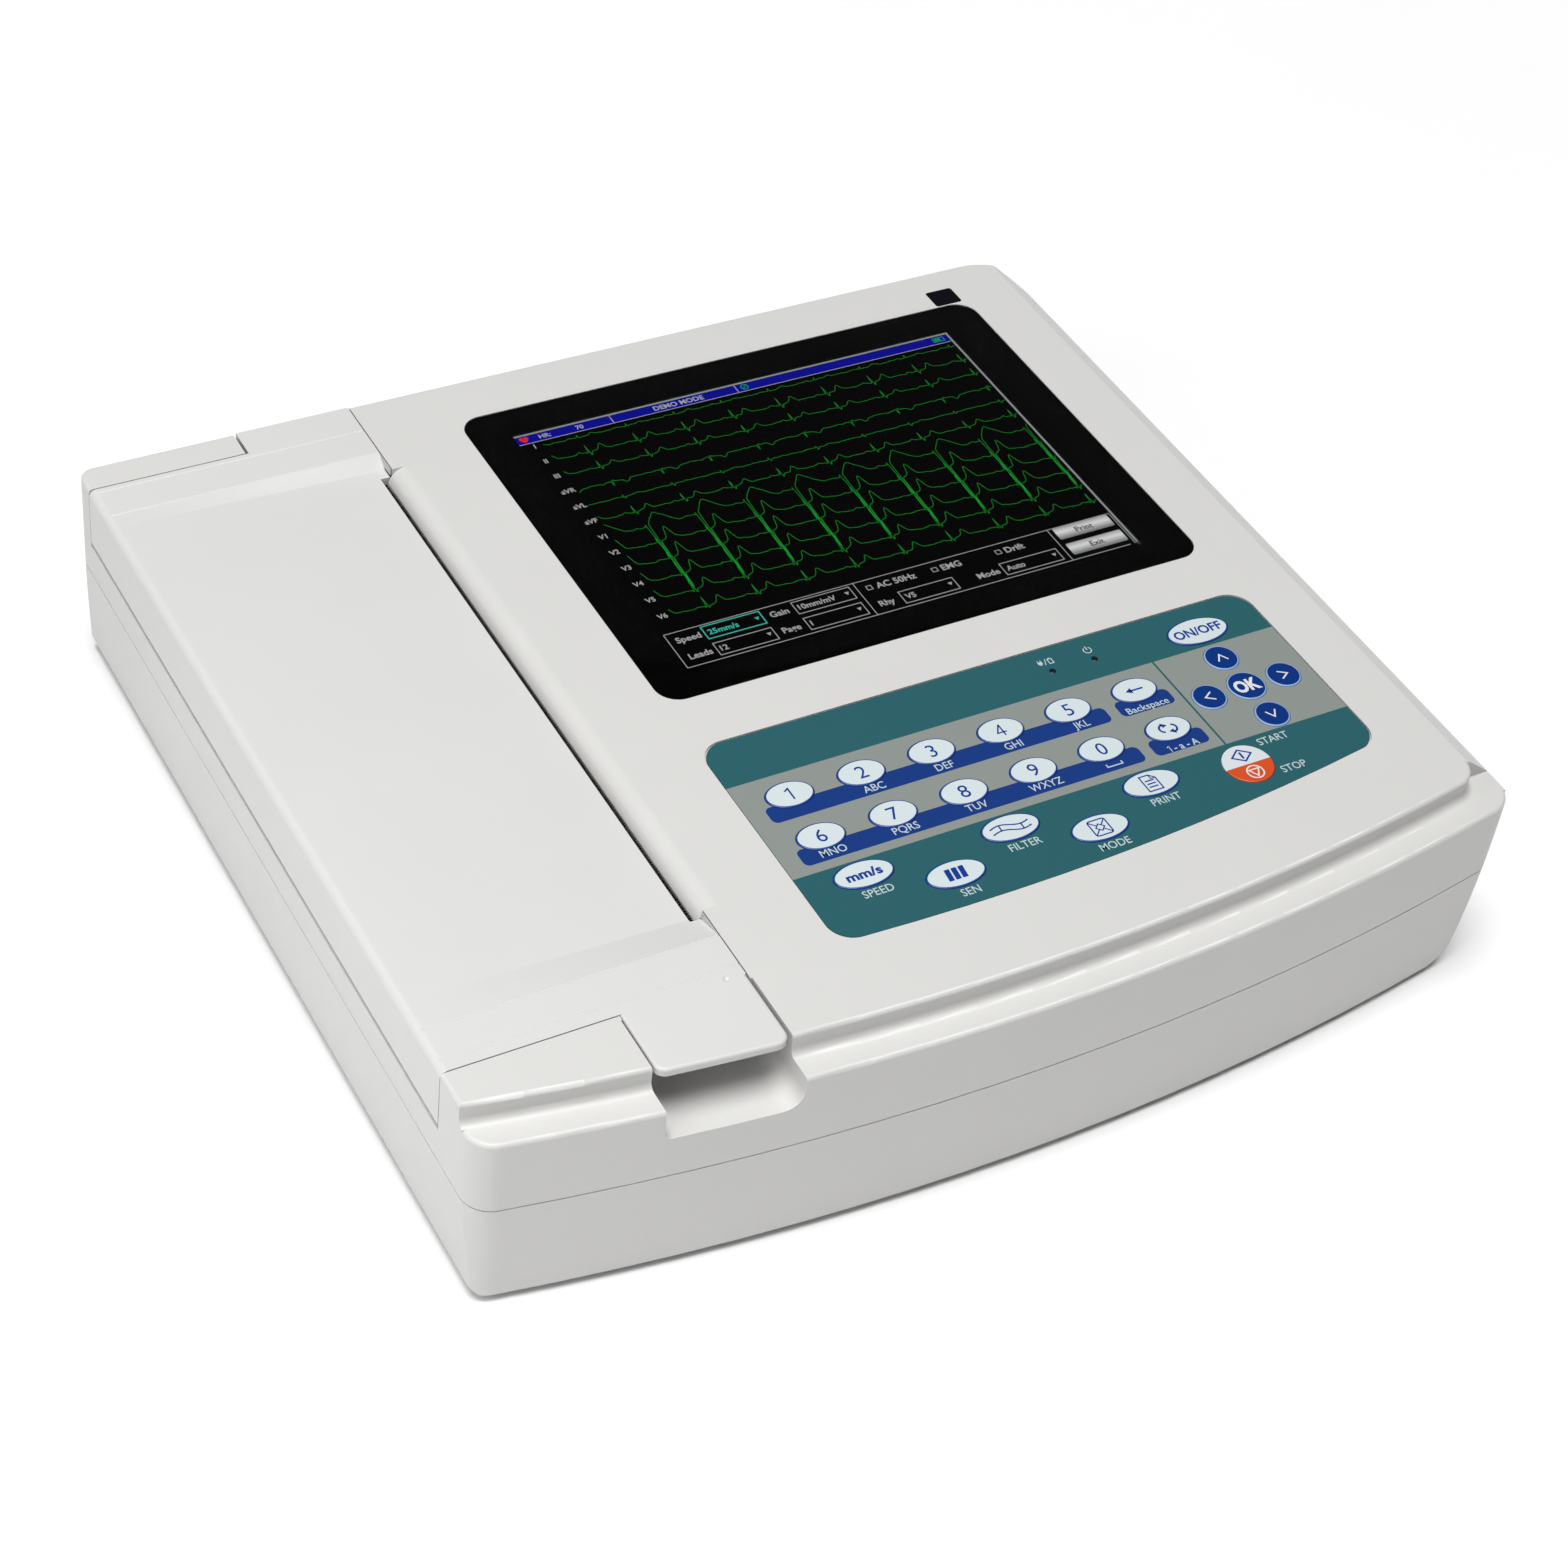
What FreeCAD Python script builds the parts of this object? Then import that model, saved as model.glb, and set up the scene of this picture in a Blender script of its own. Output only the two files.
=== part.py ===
"""Twelve-channel desktop ECG recorder: a low two-part case with a display, a keypad and a roll printer.

Millimetres, +Z up.  The origin is under the middle of the bounding box, on the plane the feet rest on.
+X runs to the operator's right and -Y is the operator's side.  The printer bay is on the left.
"""
import FreeCAD, Part
import math
import os

# ---------------------------------------------------------------- driving dimensions
# case
half_width = 171.5            # half of the overall width, at the lip
front_y = -161.1              # foremost point of the curved front
back_y = 149.1                # back wall
top_z = 72.0                  # top deck
base_z = 3.0                  # underside of the case, above the feet
seam_z = 38.0                 # where the two halves of the case meet
wall = 2.5                    # wall thickness
front_radius = 900.0          # plan radius of the curved front
lip_z = 64.5                  # ledge in front of the deck
lip_depth = 9.5               # how far the ledge stands forward
deck_right = 161.0            # right edge of the flat deck, where the bevel begins
deck_corner = 9.0             # plan radius of the right front corner of the deck
left_corner = 9.0             # plan radii of the other upright edges of the case
right_corner = 11.0
back_right_corner = 22.0
back_left_corner = 5.0
deck_edge_r = 1.2             # rounding of the deck's rim
ledge_root_r = 2.5            # rounding where the deck rises from the ledge
lip_edge_r = 1.3              # rounding of the ledge's outer edge
seam_groove = 0.5             # depth and height of the groove above the seam

# display
glass_box = (-51.5, 141.1, -17.2, 129.8)
glass_corner = 7.5
glass_thick = 1.2
active_box = (-37.5, 124.5, -5.4, 116.1)     # 8 inch 4:3 panel, 162 x 121.5
panel_margin = 10.0
sensor_box = (129.3, 139.5, 130.1, 138.6)

# keypad
pad_left = -51.7
pad_right = 140.9
pad_top = -37.6
pad_inset = 37.2              # of the curved lower edge from the front of the case
pad_corner = 8.0
pad_pocket = 0.8
pad_gap = 0.35                # round the film, in its pocket
overlay_thick = 0.6
key_gap = 0.15
key_flange = 0.8
key_proud = 0.35
digit_size = (15.4, 10.4)
function_size = (19.0, 10.2)
arrow_size = (11.0, 11.0)
ok_size = (12.4, 12.4)
start_size = (16.0, 16.0)
power_size = (21.5, 11.3)
start_centre = (97.4, -105.9)
power_centre = (117.4, -49.1)
lamp_spots = [(65.0, -47.8), (80.2, -47.8)]
lamp_window_r = 1.1
digit_first_x = -35.8
digit_pitch = 23.85
digit_rows = (-65.0, -83.6)
function_first_x = -32.1
function_pitch = 24.37
function_rows = (-101.8, -111.9)
arrow_centre = (117.2, -76.4)
arrow_pitch = 13.8

# printer door and its hinge
door_right = -81.0
door_front = -122.8
door_back = 138.0
door_thick = 2.6
door_gap = 0.4
bead_r = 1.6                  # hinge bead along the lower edge of the side flap
hinge_x = -half_width + bead_r
hinge_z = 52.0
hinge_pin_r = 0.8
tab_left = -119.1
tab_front_overhang = 1.4
tab_thick = 2.6
tab_edge_r = 0.9               # rounding of the front tab's upper edge
scoop_back = -124.8           # back wall and floor of the finger scoop under the tab
scoop_floor = 52.7
scoop_right_r = 6.0            # rounding where its floor meets its sides
scoop_left_r = 2.5
slot_y = (-96.6, 114.4)
slot_door_x = -84.4
slot_body_x = -82.1
rim_r = 6.5
rim_undercut = 3.0            # recess in the rim, below the tear bar
dish_depth = 3.3
dish_outer = (-106.9, 124.1)
dish_inner = (-95.9, 118.6)
dish_left = -168.5
crease_y = (-118.5, dish_outer[0], dish_outer[1], 136.2)
crease_width = 0.8
crease_depth = 0.3
tear_z = (66.4, 67.0)          # tear bar set in the rim
tear_back = -77.0
tear_pitch = 1.0
rear_notch = 0.6              # extra room beside the rear tab

# print mechanism
platen_x = -90.8
platen_z = 58.5
platen_r = 7.0
platen_y = (-97.0, 115.0)
shaft_r = 3.0
running_gap = 0.05
bracket_thick = 3.0
gear_module = 1.0
gear_y = (126.0, 130.0)
platen_teeth = 16
idler_teeth = 24
pinion_teeth = 12
mesh_play = 0.1
pinion_angle = -30.0
motor_size = 35.0
motor_length = 26.0
plate_y = (123.0, 124.5)
plate_x = (-104.0, -57.0)       # gear plate, on its foot
plate_z = (7.5, 9.0, 50.0)
head_gap = 0.3                  # between the print head and the platen
head_thick = 3.0
head_z = (51.0, 62.6)
heatsink_thick = 6.0
spring_spots = (-70.0, 9.0, 88.0)
spring_z = 57.0
spring_outer_r = 3.2
spring_inner_r = 2.4
spring_stop_x = -66.0           # face of the rib that the springs push on

# paper supply
roll_x = -132.0
roll_z = 32.5
roll_r = 22.0
roll_length = 210.0
roll_middle_y = 8.9
core_r = 8.5
collar_r = 11.0
bay_x = (-165.5, -100.0)
bay_z = (6.5, 49.0)
bay_wall = 2.0
bay_side_gap = 2.2              # between the roll and the walls of its bay

# rear and side interfaces
inlet_x = 112.0
switch_x = 72.0
rocker_tilt = 9.0
rocker_depth = 2.5            # of the rocker's pivot behind the back wall
axle_r = 0.35                 # stub axles of the rocker
post_x = 144.0
rear_z = 21.0
post_r = 3.0
post_length = 12.0
panel_x = 159.5               # flat face of the recessed connector panel on the right
panel_y = (-42.0, 74.0)
panel_z = (10.0, 34.0)
ecg_y = 46.0
ecg_pitch = 33.3
jack_stud_r = 2.3
usb_y = -2.0
lan_y = -26.0
port_z = 22.0
vent_first_x = -50.0
vent_pitch = 8.0
vent_count = 12

# bottom
foot_r = 8.0
foot_chamfer = 0.8
foot_spots = [(-142.0, -122.0), (138.0, -118.0), (-146.0, 125.0), (138.0, 121.0)]
boss_spots = [(-155.0, -135.0), (-62.0, -137.0), (40.0, -142.0), (140.0, -132.0),
              (-160.0, 143.6), (-62.0, 143.6), (30.0, 143.6), (152.0, 122.0)]
boss_r = 4.0
screw_r = 1.5
screw_head_r = 2.8
screw_head_thick = 2.4
screw_recess_r = 3.2
screw_seat_z = 12.0             # underside of the bosses' screw seats
battery_box = (-40.0, 36.0, -98.0, -26.0)
battery_z = (6.2, 26.0)

# electronics
board_thick = 1.6
main_board_box = (-46.0, 136.0, -116.0, 60.0)
main_board_z = 28.0
keypad_board_box = (-50.0, 138.0, -120.0, -39.0)
keypad_board_z = 64.4
power_board_box = (30.0, 138.0, 66.0, 120.0)
power_board_z = 10.0
speaker_centre = (100.0, -85.0)
speaker_r = 18.0

V = FreeCAD.Vector
AXES = {"x": V(1, 0, 0), "y": V(0, 1, 0), "z": V(0, 0, 1)}


# ---------------------------------------------------------------- building blocks
def box(x0, x1, y0, y1, z0, z1):
    return Part.makeBox(x1 - x0, y1 - y0, z1 - z0, V(x0, y0, z0))


def rod(x, y, z, radius, length, axis="y"):
    """A cylinder that starts at the point and runs along a positive axis."""
    return Part.makeCylinder(radius, length, V(x, y, z), AXES[axis])


def prism(points, z0, z1):
    """A polygon in plan, raised from z0 to z1."""
    ring = [V(x, y, z0) for x, y in points]
    face = Part.Face(Part.makePolygon(ring + ring[:1]))
    return face.extrude(V(0, 0, z1 - z0))


def side_prism(points, y0, y1):
    """A polygon of (x, z) points, drawn out from y0 to y1."""
    ring = [V(x, y0, z) for x, z in points]
    face = Part.Face(Part.makePolygon(ring + ring[:1]))
    return face.extrude(V(0, y1 - y0, 0))


def cross_prism(points, x0, x1):
    """A polygon of (y, z) points, drawn out from x0 to x1."""
    ring = [V(x0, y, z) for y, z in points]
    face = Part.Face(Part.makePolygon(ring + ring[:1]))
    return face.extrude(V(x1 - x0, 0, 0))


def upright_edges(shape, x, y, reach=1.5):
    """The vertical edges of a shape that stand near a point in plan."""
    found = []
    for edge in shape.Edges:
        box_of = edge.BoundBox
        if box_of.XLength < 0.01 and box_of.YLength < 0.01 and box_of.ZLength > 0.1:
            if math.hypot(box_of.XMin - x, box_of.YMin - y) < reach:
                found.append(edge)
    return found


def rounded(shape, corners):
    """Rounds the upright edges nearest to each (x, y, radius)."""
    for x, y, radius in corners:
        edges = upright_edges(shape, x, y)
        if edges:
            shape = shape.makeFillet(radius, edges)
    return shape


def plate(x0, x1, y0, y1, radius, z0, z1):
    """A rectangle with four equal rounded corners."""
    corners = [(x, y, radius) for x in (x0, x1) for y in (y0, y1)]
    return rounded(box(x0, x1, y0, y1, z0, z1), corners)


def ellipse_plug(x, y, size, z0, z1, grow=0.0):
    """An upright elliptical plug, size being its length along X and along Y."""
    a = size[0] / 2 + grow
    b = size[1] / 2 + grow
    if abs(a - b) < 0.01:
        return rod(x, y, z0, a, z1 - z0, "z")
    if a > b:
        curve = Part.Ellipse(V(x + a, y, z0), V(x, y + b, z0), V(x, y, z0))
    else:
        curve = Part.Ellipse(V(x, y + b, z0), V(x - a, y, z0), V(x, y, z0))
    return Part.Face(Part.Wire([curve.toShape()])).extrude(V(0, 0, z1 - z0))


def front_block(x0, x1, y1, inset, z0, z1):
    """A block whose front face follows the curved front of the case, set back by inset."""
    drum = rod(0, front_y + front_radius, z0, front_radius - inset, z1 - z0, "z")
    return box(x0, x1, front_y - 5, y1, z0, z1).common(drum)


def front_at(x, inset=0.0):
    """Y of the curved front, set back by inset, at a given X."""
    radius = front_radius - inset
    return front_y + front_radius - math.sqrt(radius * radius - x * x)


def fuse(pieces):
    whole = pieces[0]
    if len(pieces) > 1:
        whole = whole.multiFuse(pieces[1:])
    return whole.removeSplitter()


def group(solids):
    """Separate solids that share one node."""
    return Part.makeCompound(solids)


# ---------------------------------------------------------------- outer form of the case
def side_profile(inset):
    """Section of the case across X, the same all along Y."""
    left = -half_width + inset
    right_lip = half_width - inset
    top = top_z - inset
    bottom = base_z + inset
    return [(left + 4.0, bottom), (left + 1.8, bottom + 2.0), (left, seam_z), (left, top),
            (deck_right - inset * 0.6, top), (right_lip - 1.2, lip_z + 0.3 - inset * 0.4),
            (right_lip, lip_z - 1.2), (right_lip - 3.4, 52.0), (right_lip - 5.6, seam_z),
            (right_lip - 9.0, 16.0), (right_lip - 11.0, bottom + 5.0), (right_lip - 14.5, bottom + 1.3),
            (right_lip - 19.0, bottom)]


def case_form(inset):
    """The closed outer form of the case, shrunk by inset."""
    block = front_block(-half_width + inset, half_width - inset, back_y - inset, inset,
                        base_z + inset, top_z - inset)
    right = half_width - inset
    left = -half_width + inset
    corner_y = front_at(right, inset)
    block = rounded(block, [(left, corner_y, left_corner - inset), (right, corner_y, right_corner - inset),
                            (right, back_y - inset, back_right_corner - inset),
                            (left, back_y - inset, back_left_corner - inset)])
    block = block.common(side_prism(side_profile(inset), front_y - 10, back_y + 10))
    return block.cut(ledge_space(inset))


def deck_block(inset, z0, z1):
    """The raised deck behind the ledge, with its rounded right front corner."""
    block = front_block(-half_width - 5, deck_right - inset, back_y + 5, lip_depth + inset, z0, z1)
    corner_y = front_at(deck_right - inset, lip_depth + inset)
    return rounded(block, [(deck_right - inset, corner_y, deck_corner)])


def ledge_space(inset):
    """What is cut away above the front ledge."""
    floor = lip_z - inset
    behind = front_at(deck_right - deck_corner, lip_depth + deck_corner) - 1.5 + inset
    space = box(-half_width - 5, half_width + 5, front_y - 5, behind, floor, top_z + 10)
    return space.cut(deck_block(inset, floor - 1, top_z + 11))


def lies_at(edge, z):
    """Whether an edge lies flat at a height."""
    return abs(edge.BoundBox.ZMin - z) < 0.01 and abs(edge.BoundBox.ZMax - z) < 0.01


def lip_trim(form):
    """The sliver that rounding the ledge's outer edge takes away."""
    deck = deck_block(-1.0, lip_z - 1.0, lip_z + 1.0)
    ledge_end = front_at(deck_right, lip_depth)
    outer = []
    for edge in form.Edges:
        if lies_at(edge, lip_z) and edge.BoundBox.YMax < ledge_end:
            middle = edge.valueAt((edge.FirstParameter + edge.LastParameter) / 2)
            if not deck.isInside(middle, 0.01, True):
                outer.append(edge)
    path = Part.Wire(Part.sortEdges(outer)[0])
    start = min((vertex.Point for vertex in path.Vertexes), key=lambda point: point.x)
    reach = 0.5
    half = lip_edge_r * (1.0 - math.cos(math.radians(45.0)))
    inward = AXES["x"]
    up = AXES["z"]
    low = start - up * lip_edge_r
    high = start + inward * lip_edge_r
    bulge = start + inward * half - up * half
    corners = [high, high + up * reach, start - inward * reach + up * reach,
               low - inward * reach, low]
    sides = [Part.Arc(low, bulge, high).toShape()]
    sides += [Part.makeLine(a, b) for a, b in zip(corners, corners[1:])]
    return path.makePipeShell([Part.Wire(sides)], True, True)


def soften(form):
    """The outer form with its moulded edges rounded."""
    rim = [edge for edge in form.Edges if lies_at(edge, top_z)]
    form = form.makeFillet(deck_edge_r, rim)
    trim = lip_trim(form)
    root = [edge for edge in form.Edges
            if lies_at(edge, lip_z) and edge.Length > 300 and edge.BoundBox.YMin > front_y + lip_depth / 2]
    return form.makeFillet(ledge_root_r, root).cut(trim)


def seam_line():
    """A shallow groove round the case, just above where its halves meet."""
    band = box(-half_width - 5, half_width + 5, front_y - 5, back_y + 5, seam_z, seam_z + seam_groove)
    core = front_block(-half_width + seam_groove, half_width - 5.6 - seam_groove, back_y - seam_groove,
                       seam_groove, seam_z - 1, seam_z + 1)
    right = half_width - 5.6 - seam_groove
    core = rounded(core, [(-half_width + seam_groove, front_at(half_width), 9.0),
                          (right, front_at(right), 8.0), (right, back_y - seam_groove, 18.0),
                          (-half_width + seam_groove, back_y - seam_groove, 5.0)])
    return band.cut(core)


# ---------------------------------------------------------------- keys
def key_table():
    """Every key: name, centre and size."""
    keys = []
    digits = "1234567890"
    for index, digit in enumerate(digits):
        row, column = divmod(index, 5)
        keys.append((f"key_{digit}", digit_first_x + column * digit_pitch, digit_rows[row], digit_size))
    last_x = digit_first_x + 5 * digit_pitch
    keys.append(("key_backspace", last_x, digit_rows[0], digit_size))
    keys.append(("key_shift", last_x, digit_rows[1], digit_size))
    for index, name in enumerate(("speed", "gain", "filter", "mode", "print")):
        x = function_first_x + index * function_pitch
        keys.append((f"key_{name}", x, function_rows[index % 2], function_size))
    keys.append(("key_start_stop", *start_centre, start_size))
    keys.append(("key_power", *power_centre, power_size))
    x, y = arrow_centre
    keys.append(("key_ok", x, y, ok_size))
    for name, across, along in (("up", 0, 1), ("down", 0, -1), ("left", -1, 0), ("right", 1, 0)):
        keys.append((f"key_{name}", x + across * arrow_pitch, y + along * arrow_pitch, arrow_size))
    return keys


def make_key(x, y, size):
    """A key top with the flange that keeps it under the deck."""
    underside = top_z - wall
    top = top_z - pad_pocket + overlay_thick + key_proud
    cap = ellipse_plug(x, y, size, underside - 1.0, top)
    flange = ellipse_plug(x, y, size, underside - 1.4, underside - 0.4, key_flange)
    return fuse([cap, flange])


# ---------------------------------------------------------------- case halves
def printer_opening():
    """The space that the printer door and its two tabs fill."""
    gap = door_gap
    main = box(-half_width - 5, door_right + gap, door_front - gap, door_back + gap,
               hinge_z - bead_r - 0.8, top_z + 5)
    rear = box(tab_left - gap - rear_notch, door_right + gap, door_back, back_y + 5,
               top_z - door_thick - gap, top_z + 5)
    front = box(tab_left - gap, door_right + gap, front_y - 5, door_front, top_z - tab_thick - gap, top_z + 5)
    return fuse([main, rear, front])


def finger_pocket(grow):
    """The scoop under the front tab, open to the front and upward."""
    x0 = tab_left - 0.8 - grow
    x1 = door_right + 0.9 + grow
    floor = scoop_floor - grow
    back = scoop_back + grow
    curve = []
    for step in range(7):
        angle = math.radians(90.0 * step / 6)
        curve.append((back - 12.0 + 12.0 * math.sin(angle), floor + 14.0 - 12.0 * math.cos(angle)))
    points = [(front_y - 10, floor)] + [(back - 22.0, floor + 1.2)] + curve
    points += [(back, top_z + 10), (front_y - 10, top_z + 10)]
    scoop = cross_prism(points, x0, x1)
    if grow == 0.0:
        for x, radius in ((x1, scoop_right_r), (x0, scoop_left_r)):
            lower = [edge for edge in scoop.Edges
                     if abs(edge.BoundBox.XMin - x) < 0.01 and edge.BoundBox.XLength < 0.01
                     and edge.BoundBox.YLength > 5 and edge.BoundBox.ZMax < floor + 3]
            scoop = scoop.makeFillet(radius, lower)
    return scoop


def make_top_case():
    form = soften(case_form(0.0))
    hollow = case_form(wall)
    upper = box(-200, 200, -200, 200, seam_z, 100)
    shell = form.common(upper).cut(hollow)
    inner_top = top_z - wall
    # scoop for the fingers, lined by its own walls
    lining = finger_pocket(2.0).common(form).common(box(-200, 200, -200, 200, 48, top_z))
    # rim of the paper slot, on the deck side
    rim = box(slot_body_x, slot_body_x + 8.5, slot_y[0], slot_y[1], 63.0, inner_top + 1)
    spring_rib = box(spring_stop_x, spring_stop_x + 2.0, slot_y[0] + 2, slot_y[1] - 2, 50.0, inner_top + 1)
    bosses = [rod(x, y, seam_z, boss_r, inner_top + 0.5 - seam_z, "z").common(form) for x, y in boss_spots]
    shell = fuse([shell, lining, rim, spring_rib] + bosses)
    shell = shell.cut(finger_pocket(0.0))
    shell = shell.cut(printer_opening().cut(box(slot_body_x, -60, slot_y[0], slot_y[1], 40, 100)))
    # rounded edge of the slot
    edge_block = box(slot_body_x - 2, slot_body_x + rim_r, slot_y[0], slot_y[1], top_z - rim_r, top_z + 5)
    edge_round = rod(slot_body_x + rim_r, slot_y[0] - 1, top_z - rim_r, rim_r,
                     slot_y[1] - slot_y[0] + 2)
    shell = shell.cut(edge_block.cut(edge_round))
    shell = shell.cut(tear_strip())
    shell = shell.cut(box(slot_body_x - 1, slot_body_x + rim_undercut, slot_y[0] + 0.5, slot_y[1] - 0.5,
                          60.0, tear_z[0]))
    # windows and pockets of the deck
    shell = shell.cut(plate(*glass_box, glass_corner, top_z - glass_thick - 0.1, top_z + 5))
    shell = shell.cut(plate(active_box[0] - 3, active_box[1] + 3, active_box[2] - 3, active_box[3] + 3,
                            2.0, 60, top_z + 5))
    shell = shell.cut(plate(*sensor_box, 1.0, top_z - 1.0, top_z + 5))
    shell = shell.cut(keypad_plate(pad_gap, top_z - pad_pocket, top_z + 5))
    for _, x, y, size in key_table():
        shell = shell.cut(ellipse_plug(x, y, size, 60, top_z + 5, key_gap + 0.15))
    for x, y in lamp_spots:
        shell = shell.cut(rod(x, y, 60, 1.6, 20, "z"))
    # fixing holes
    for x, y in boss_spots:
        shell = shell.cut(rod(x, y, seam_z - 1, screw_r, 13.0, "z"))
    for y in (door_front - door_gap, door_back + door_gap):
        shell = shell.cut(rod(hinge_x, y - 6, hinge_z, hinge_pin_r, 12.0))
    shell = shell.cut(seam_line())
    return shell.removeSplitter()


def make_bottom_case():
    form = case_form(0.0)
    hollow = case_form(wall)
    lower = box(-200, 200, -200, 200, 0, seam_z)
    bosses = [rod(x, y, base_z, boss_r, seam_z - base_z, "z") for x, y in boss_spots]
    panel_back = box(panel_x - wall, half_width, panel_y[0] - wall, panel_y[1] + wall,
                     panel_z[0] - wall, panel_z[1] + wall)
    pads = [box(x - 4, x + 4, y - 4, y + 4, base_z + 1, 28.0)
            for x in (-42.0, 132.0) for y in (-112.0, 56.0)]
    shell = fuse([form.common(lower).cut(hollow), panel_back.common(form)] + bosses + pads)
    shell = shell.cut(box(panel_x, half_width + 5, panel_y[0], panel_y[1], panel_z[0], panel_z[1]))
    # battery door and its ledge
    x0, x1, y0, y1 = battery_box
    shell = shell.cut(plate(x0 - 3, x1 + 3, y0 - 3, y1 + 3, 3.0, 0, 10))
    # screw holes with countersunk heads
    for x, y in boss_spots:
        shell = shell.cut(rod(x, y, 0, screw_r + 0.1, 60, "z"))
        shell = shell.cut(rod(x, y, 0, screw_recess_r, screw_seat_z, "z"))
    # rear interfaces
    shell = shell.cut(box(inlet_x - 14.0, inlet_x + 14.0, 140, 160, rear_z - 10.0, rear_z + 10.0))
    shell = shell.cut(box(switch_x - 9.6, switch_x + 9.6, 140, 160, rear_z - 6.6, rear_z + 6.6))
    shell = shell.cut(rod(post_x, 140, rear_z, post_r, 20))
    for index in range(vent_count):
        x = vent_first_x + index * vent_pitch
        shell = shell.cut(box(x - 1.2, x + 1.2, 140, 160, 14.0, 30.0))
    # side interfaces
    shell = shell.cut(box(150, 165, ecg_y - 10.2, ecg_y + 10.2, port_z - 5.4, port_z + 5.4))
    for side in (-0.5, 0.5):
        shell = shell.cut(rod(150, ecg_y + side * ecg_pitch, port_z, jack_stud_r + 0.05, 15, "x"))
    shell = shell.cut(box(150, 165, usb_y - 6.8, usb_y + 6.8, port_z - 3.6, port_z + 3.6))
    shell = shell.cut(box(150, 165, lan_y - 8.2, lan_y + 8.2, port_z - 7.0, port_z + 7.0))
    # loudspeaker grille
    for ring, count in ((0.0, 1), (5.0, 6), (10.0, 12)):
        for index in range(count):
            angle = 2 * math.pi * index / count
            x = speaker_centre[0] + ring * math.cos(angle)
            y = speaker_centre[1] + ring * math.sin(angle)
            shell = shell.cut(rod(x, y, 0, 1.1, 8, "z"))
    return shell.removeSplitter()


def make_battery_door():
    x0, x1, y0, y1 = battery_box
    lid = plate(x0 - 2.7, x1 + 2.7, y0 - 2.7, y1 + 2.7, 2.7, base_z, base_z + wall)
    for y in (y0 + 20, y0 + 26, y0 + 32):
        lid = lid.cut(box(x0 + 20, x1 - 20, y, y + 2, 0, base_z + 0.6))
    return lid


# ---------------------------------------------------------------- deck parts
def keypad_plate(grow, z0, z1):
    """Outline of the keypad: straight top and sides, and a lower edge that follows the front."""
    left = pad_left - grow
    right = pad_right + grow
    block = front_block(left, right, pad_top + grow, pad_inset - grow, z0, z1)
    corners = [(x, pad_top + grow, pad_corner) for x in (left, right)]
    corners += [(x, front_at(x, pad_inset - grow), pad_corner) for x in (left, right)]
    return rounded(block, corners)


def make_keypad_overlay():
    floor = top_z - pad_pocket
    sheet = keypad_plate(0.0, floor, floor + overlay_thick)
    for _, x, y, size in key_table():
        sheet = sheet.cut(ellipse_plug(x, y, size, 60, 80, key_gap))
    for x, y in lamp_spots:
        sheet = sheet.cut(rod(x, y, 60, lamp_window_r, 20, "z"))
    return sheet


def make_keypad_board():
    face = keypad_board_z + board_thick
    board = box(*keypad_board_box, keypad_board_z, face)
    domes = [rod(x, y, face, 4.0, 0.8, "z") for _, x, y, _ in key_table()]
    lamps = [rod(x, y, face, 1.5, 5.0, "z") for x, y in lamp_spots]
    return group([board] + domes + lamps)


def make_display_glass():
    return plate(*glass_box, glass_corner, top_z - glass_thick - 0.1, top_z - 0.1)


def make_lcd_panel():
    x0, x1, y0, y1 = active_box
    m = panel_margin
    frame = box(x0 - m, x1 + m, y0 - m, y1 + m, 64.0, 69.4)
    face = box(x0, x1, y0, y1, 69.4, 70.2)
    return fuse([frame, face])


def make_sensor_window():
    return plate(*sensor_box, 1.0, top_z - 1.0, top_z - 0.05)


# ---------------------------------------------------------------- printer door
def dish_space():
    """The shallow tray of the door: it deepens towards the slot."""
    faces = []
    for x, depth in ((dish_left, 0.05), (slot_body_x + 1, dish_depth)):
        ring = [(dish_outer[0], top_z), (dish_inner[0], top_z - depth), (dish_inner[1], top_z - depth),
                (dish_outer[1], top_z), (dish_outer[1], top_z + 4), (dish_outer[0], top_z + 4)]
        points = [V(x, y, z) for y, z in ring]
        faces.append(Part.makePolygon(points + points[:1]))
    return Part.makeLoft(faces, True, True)


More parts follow.
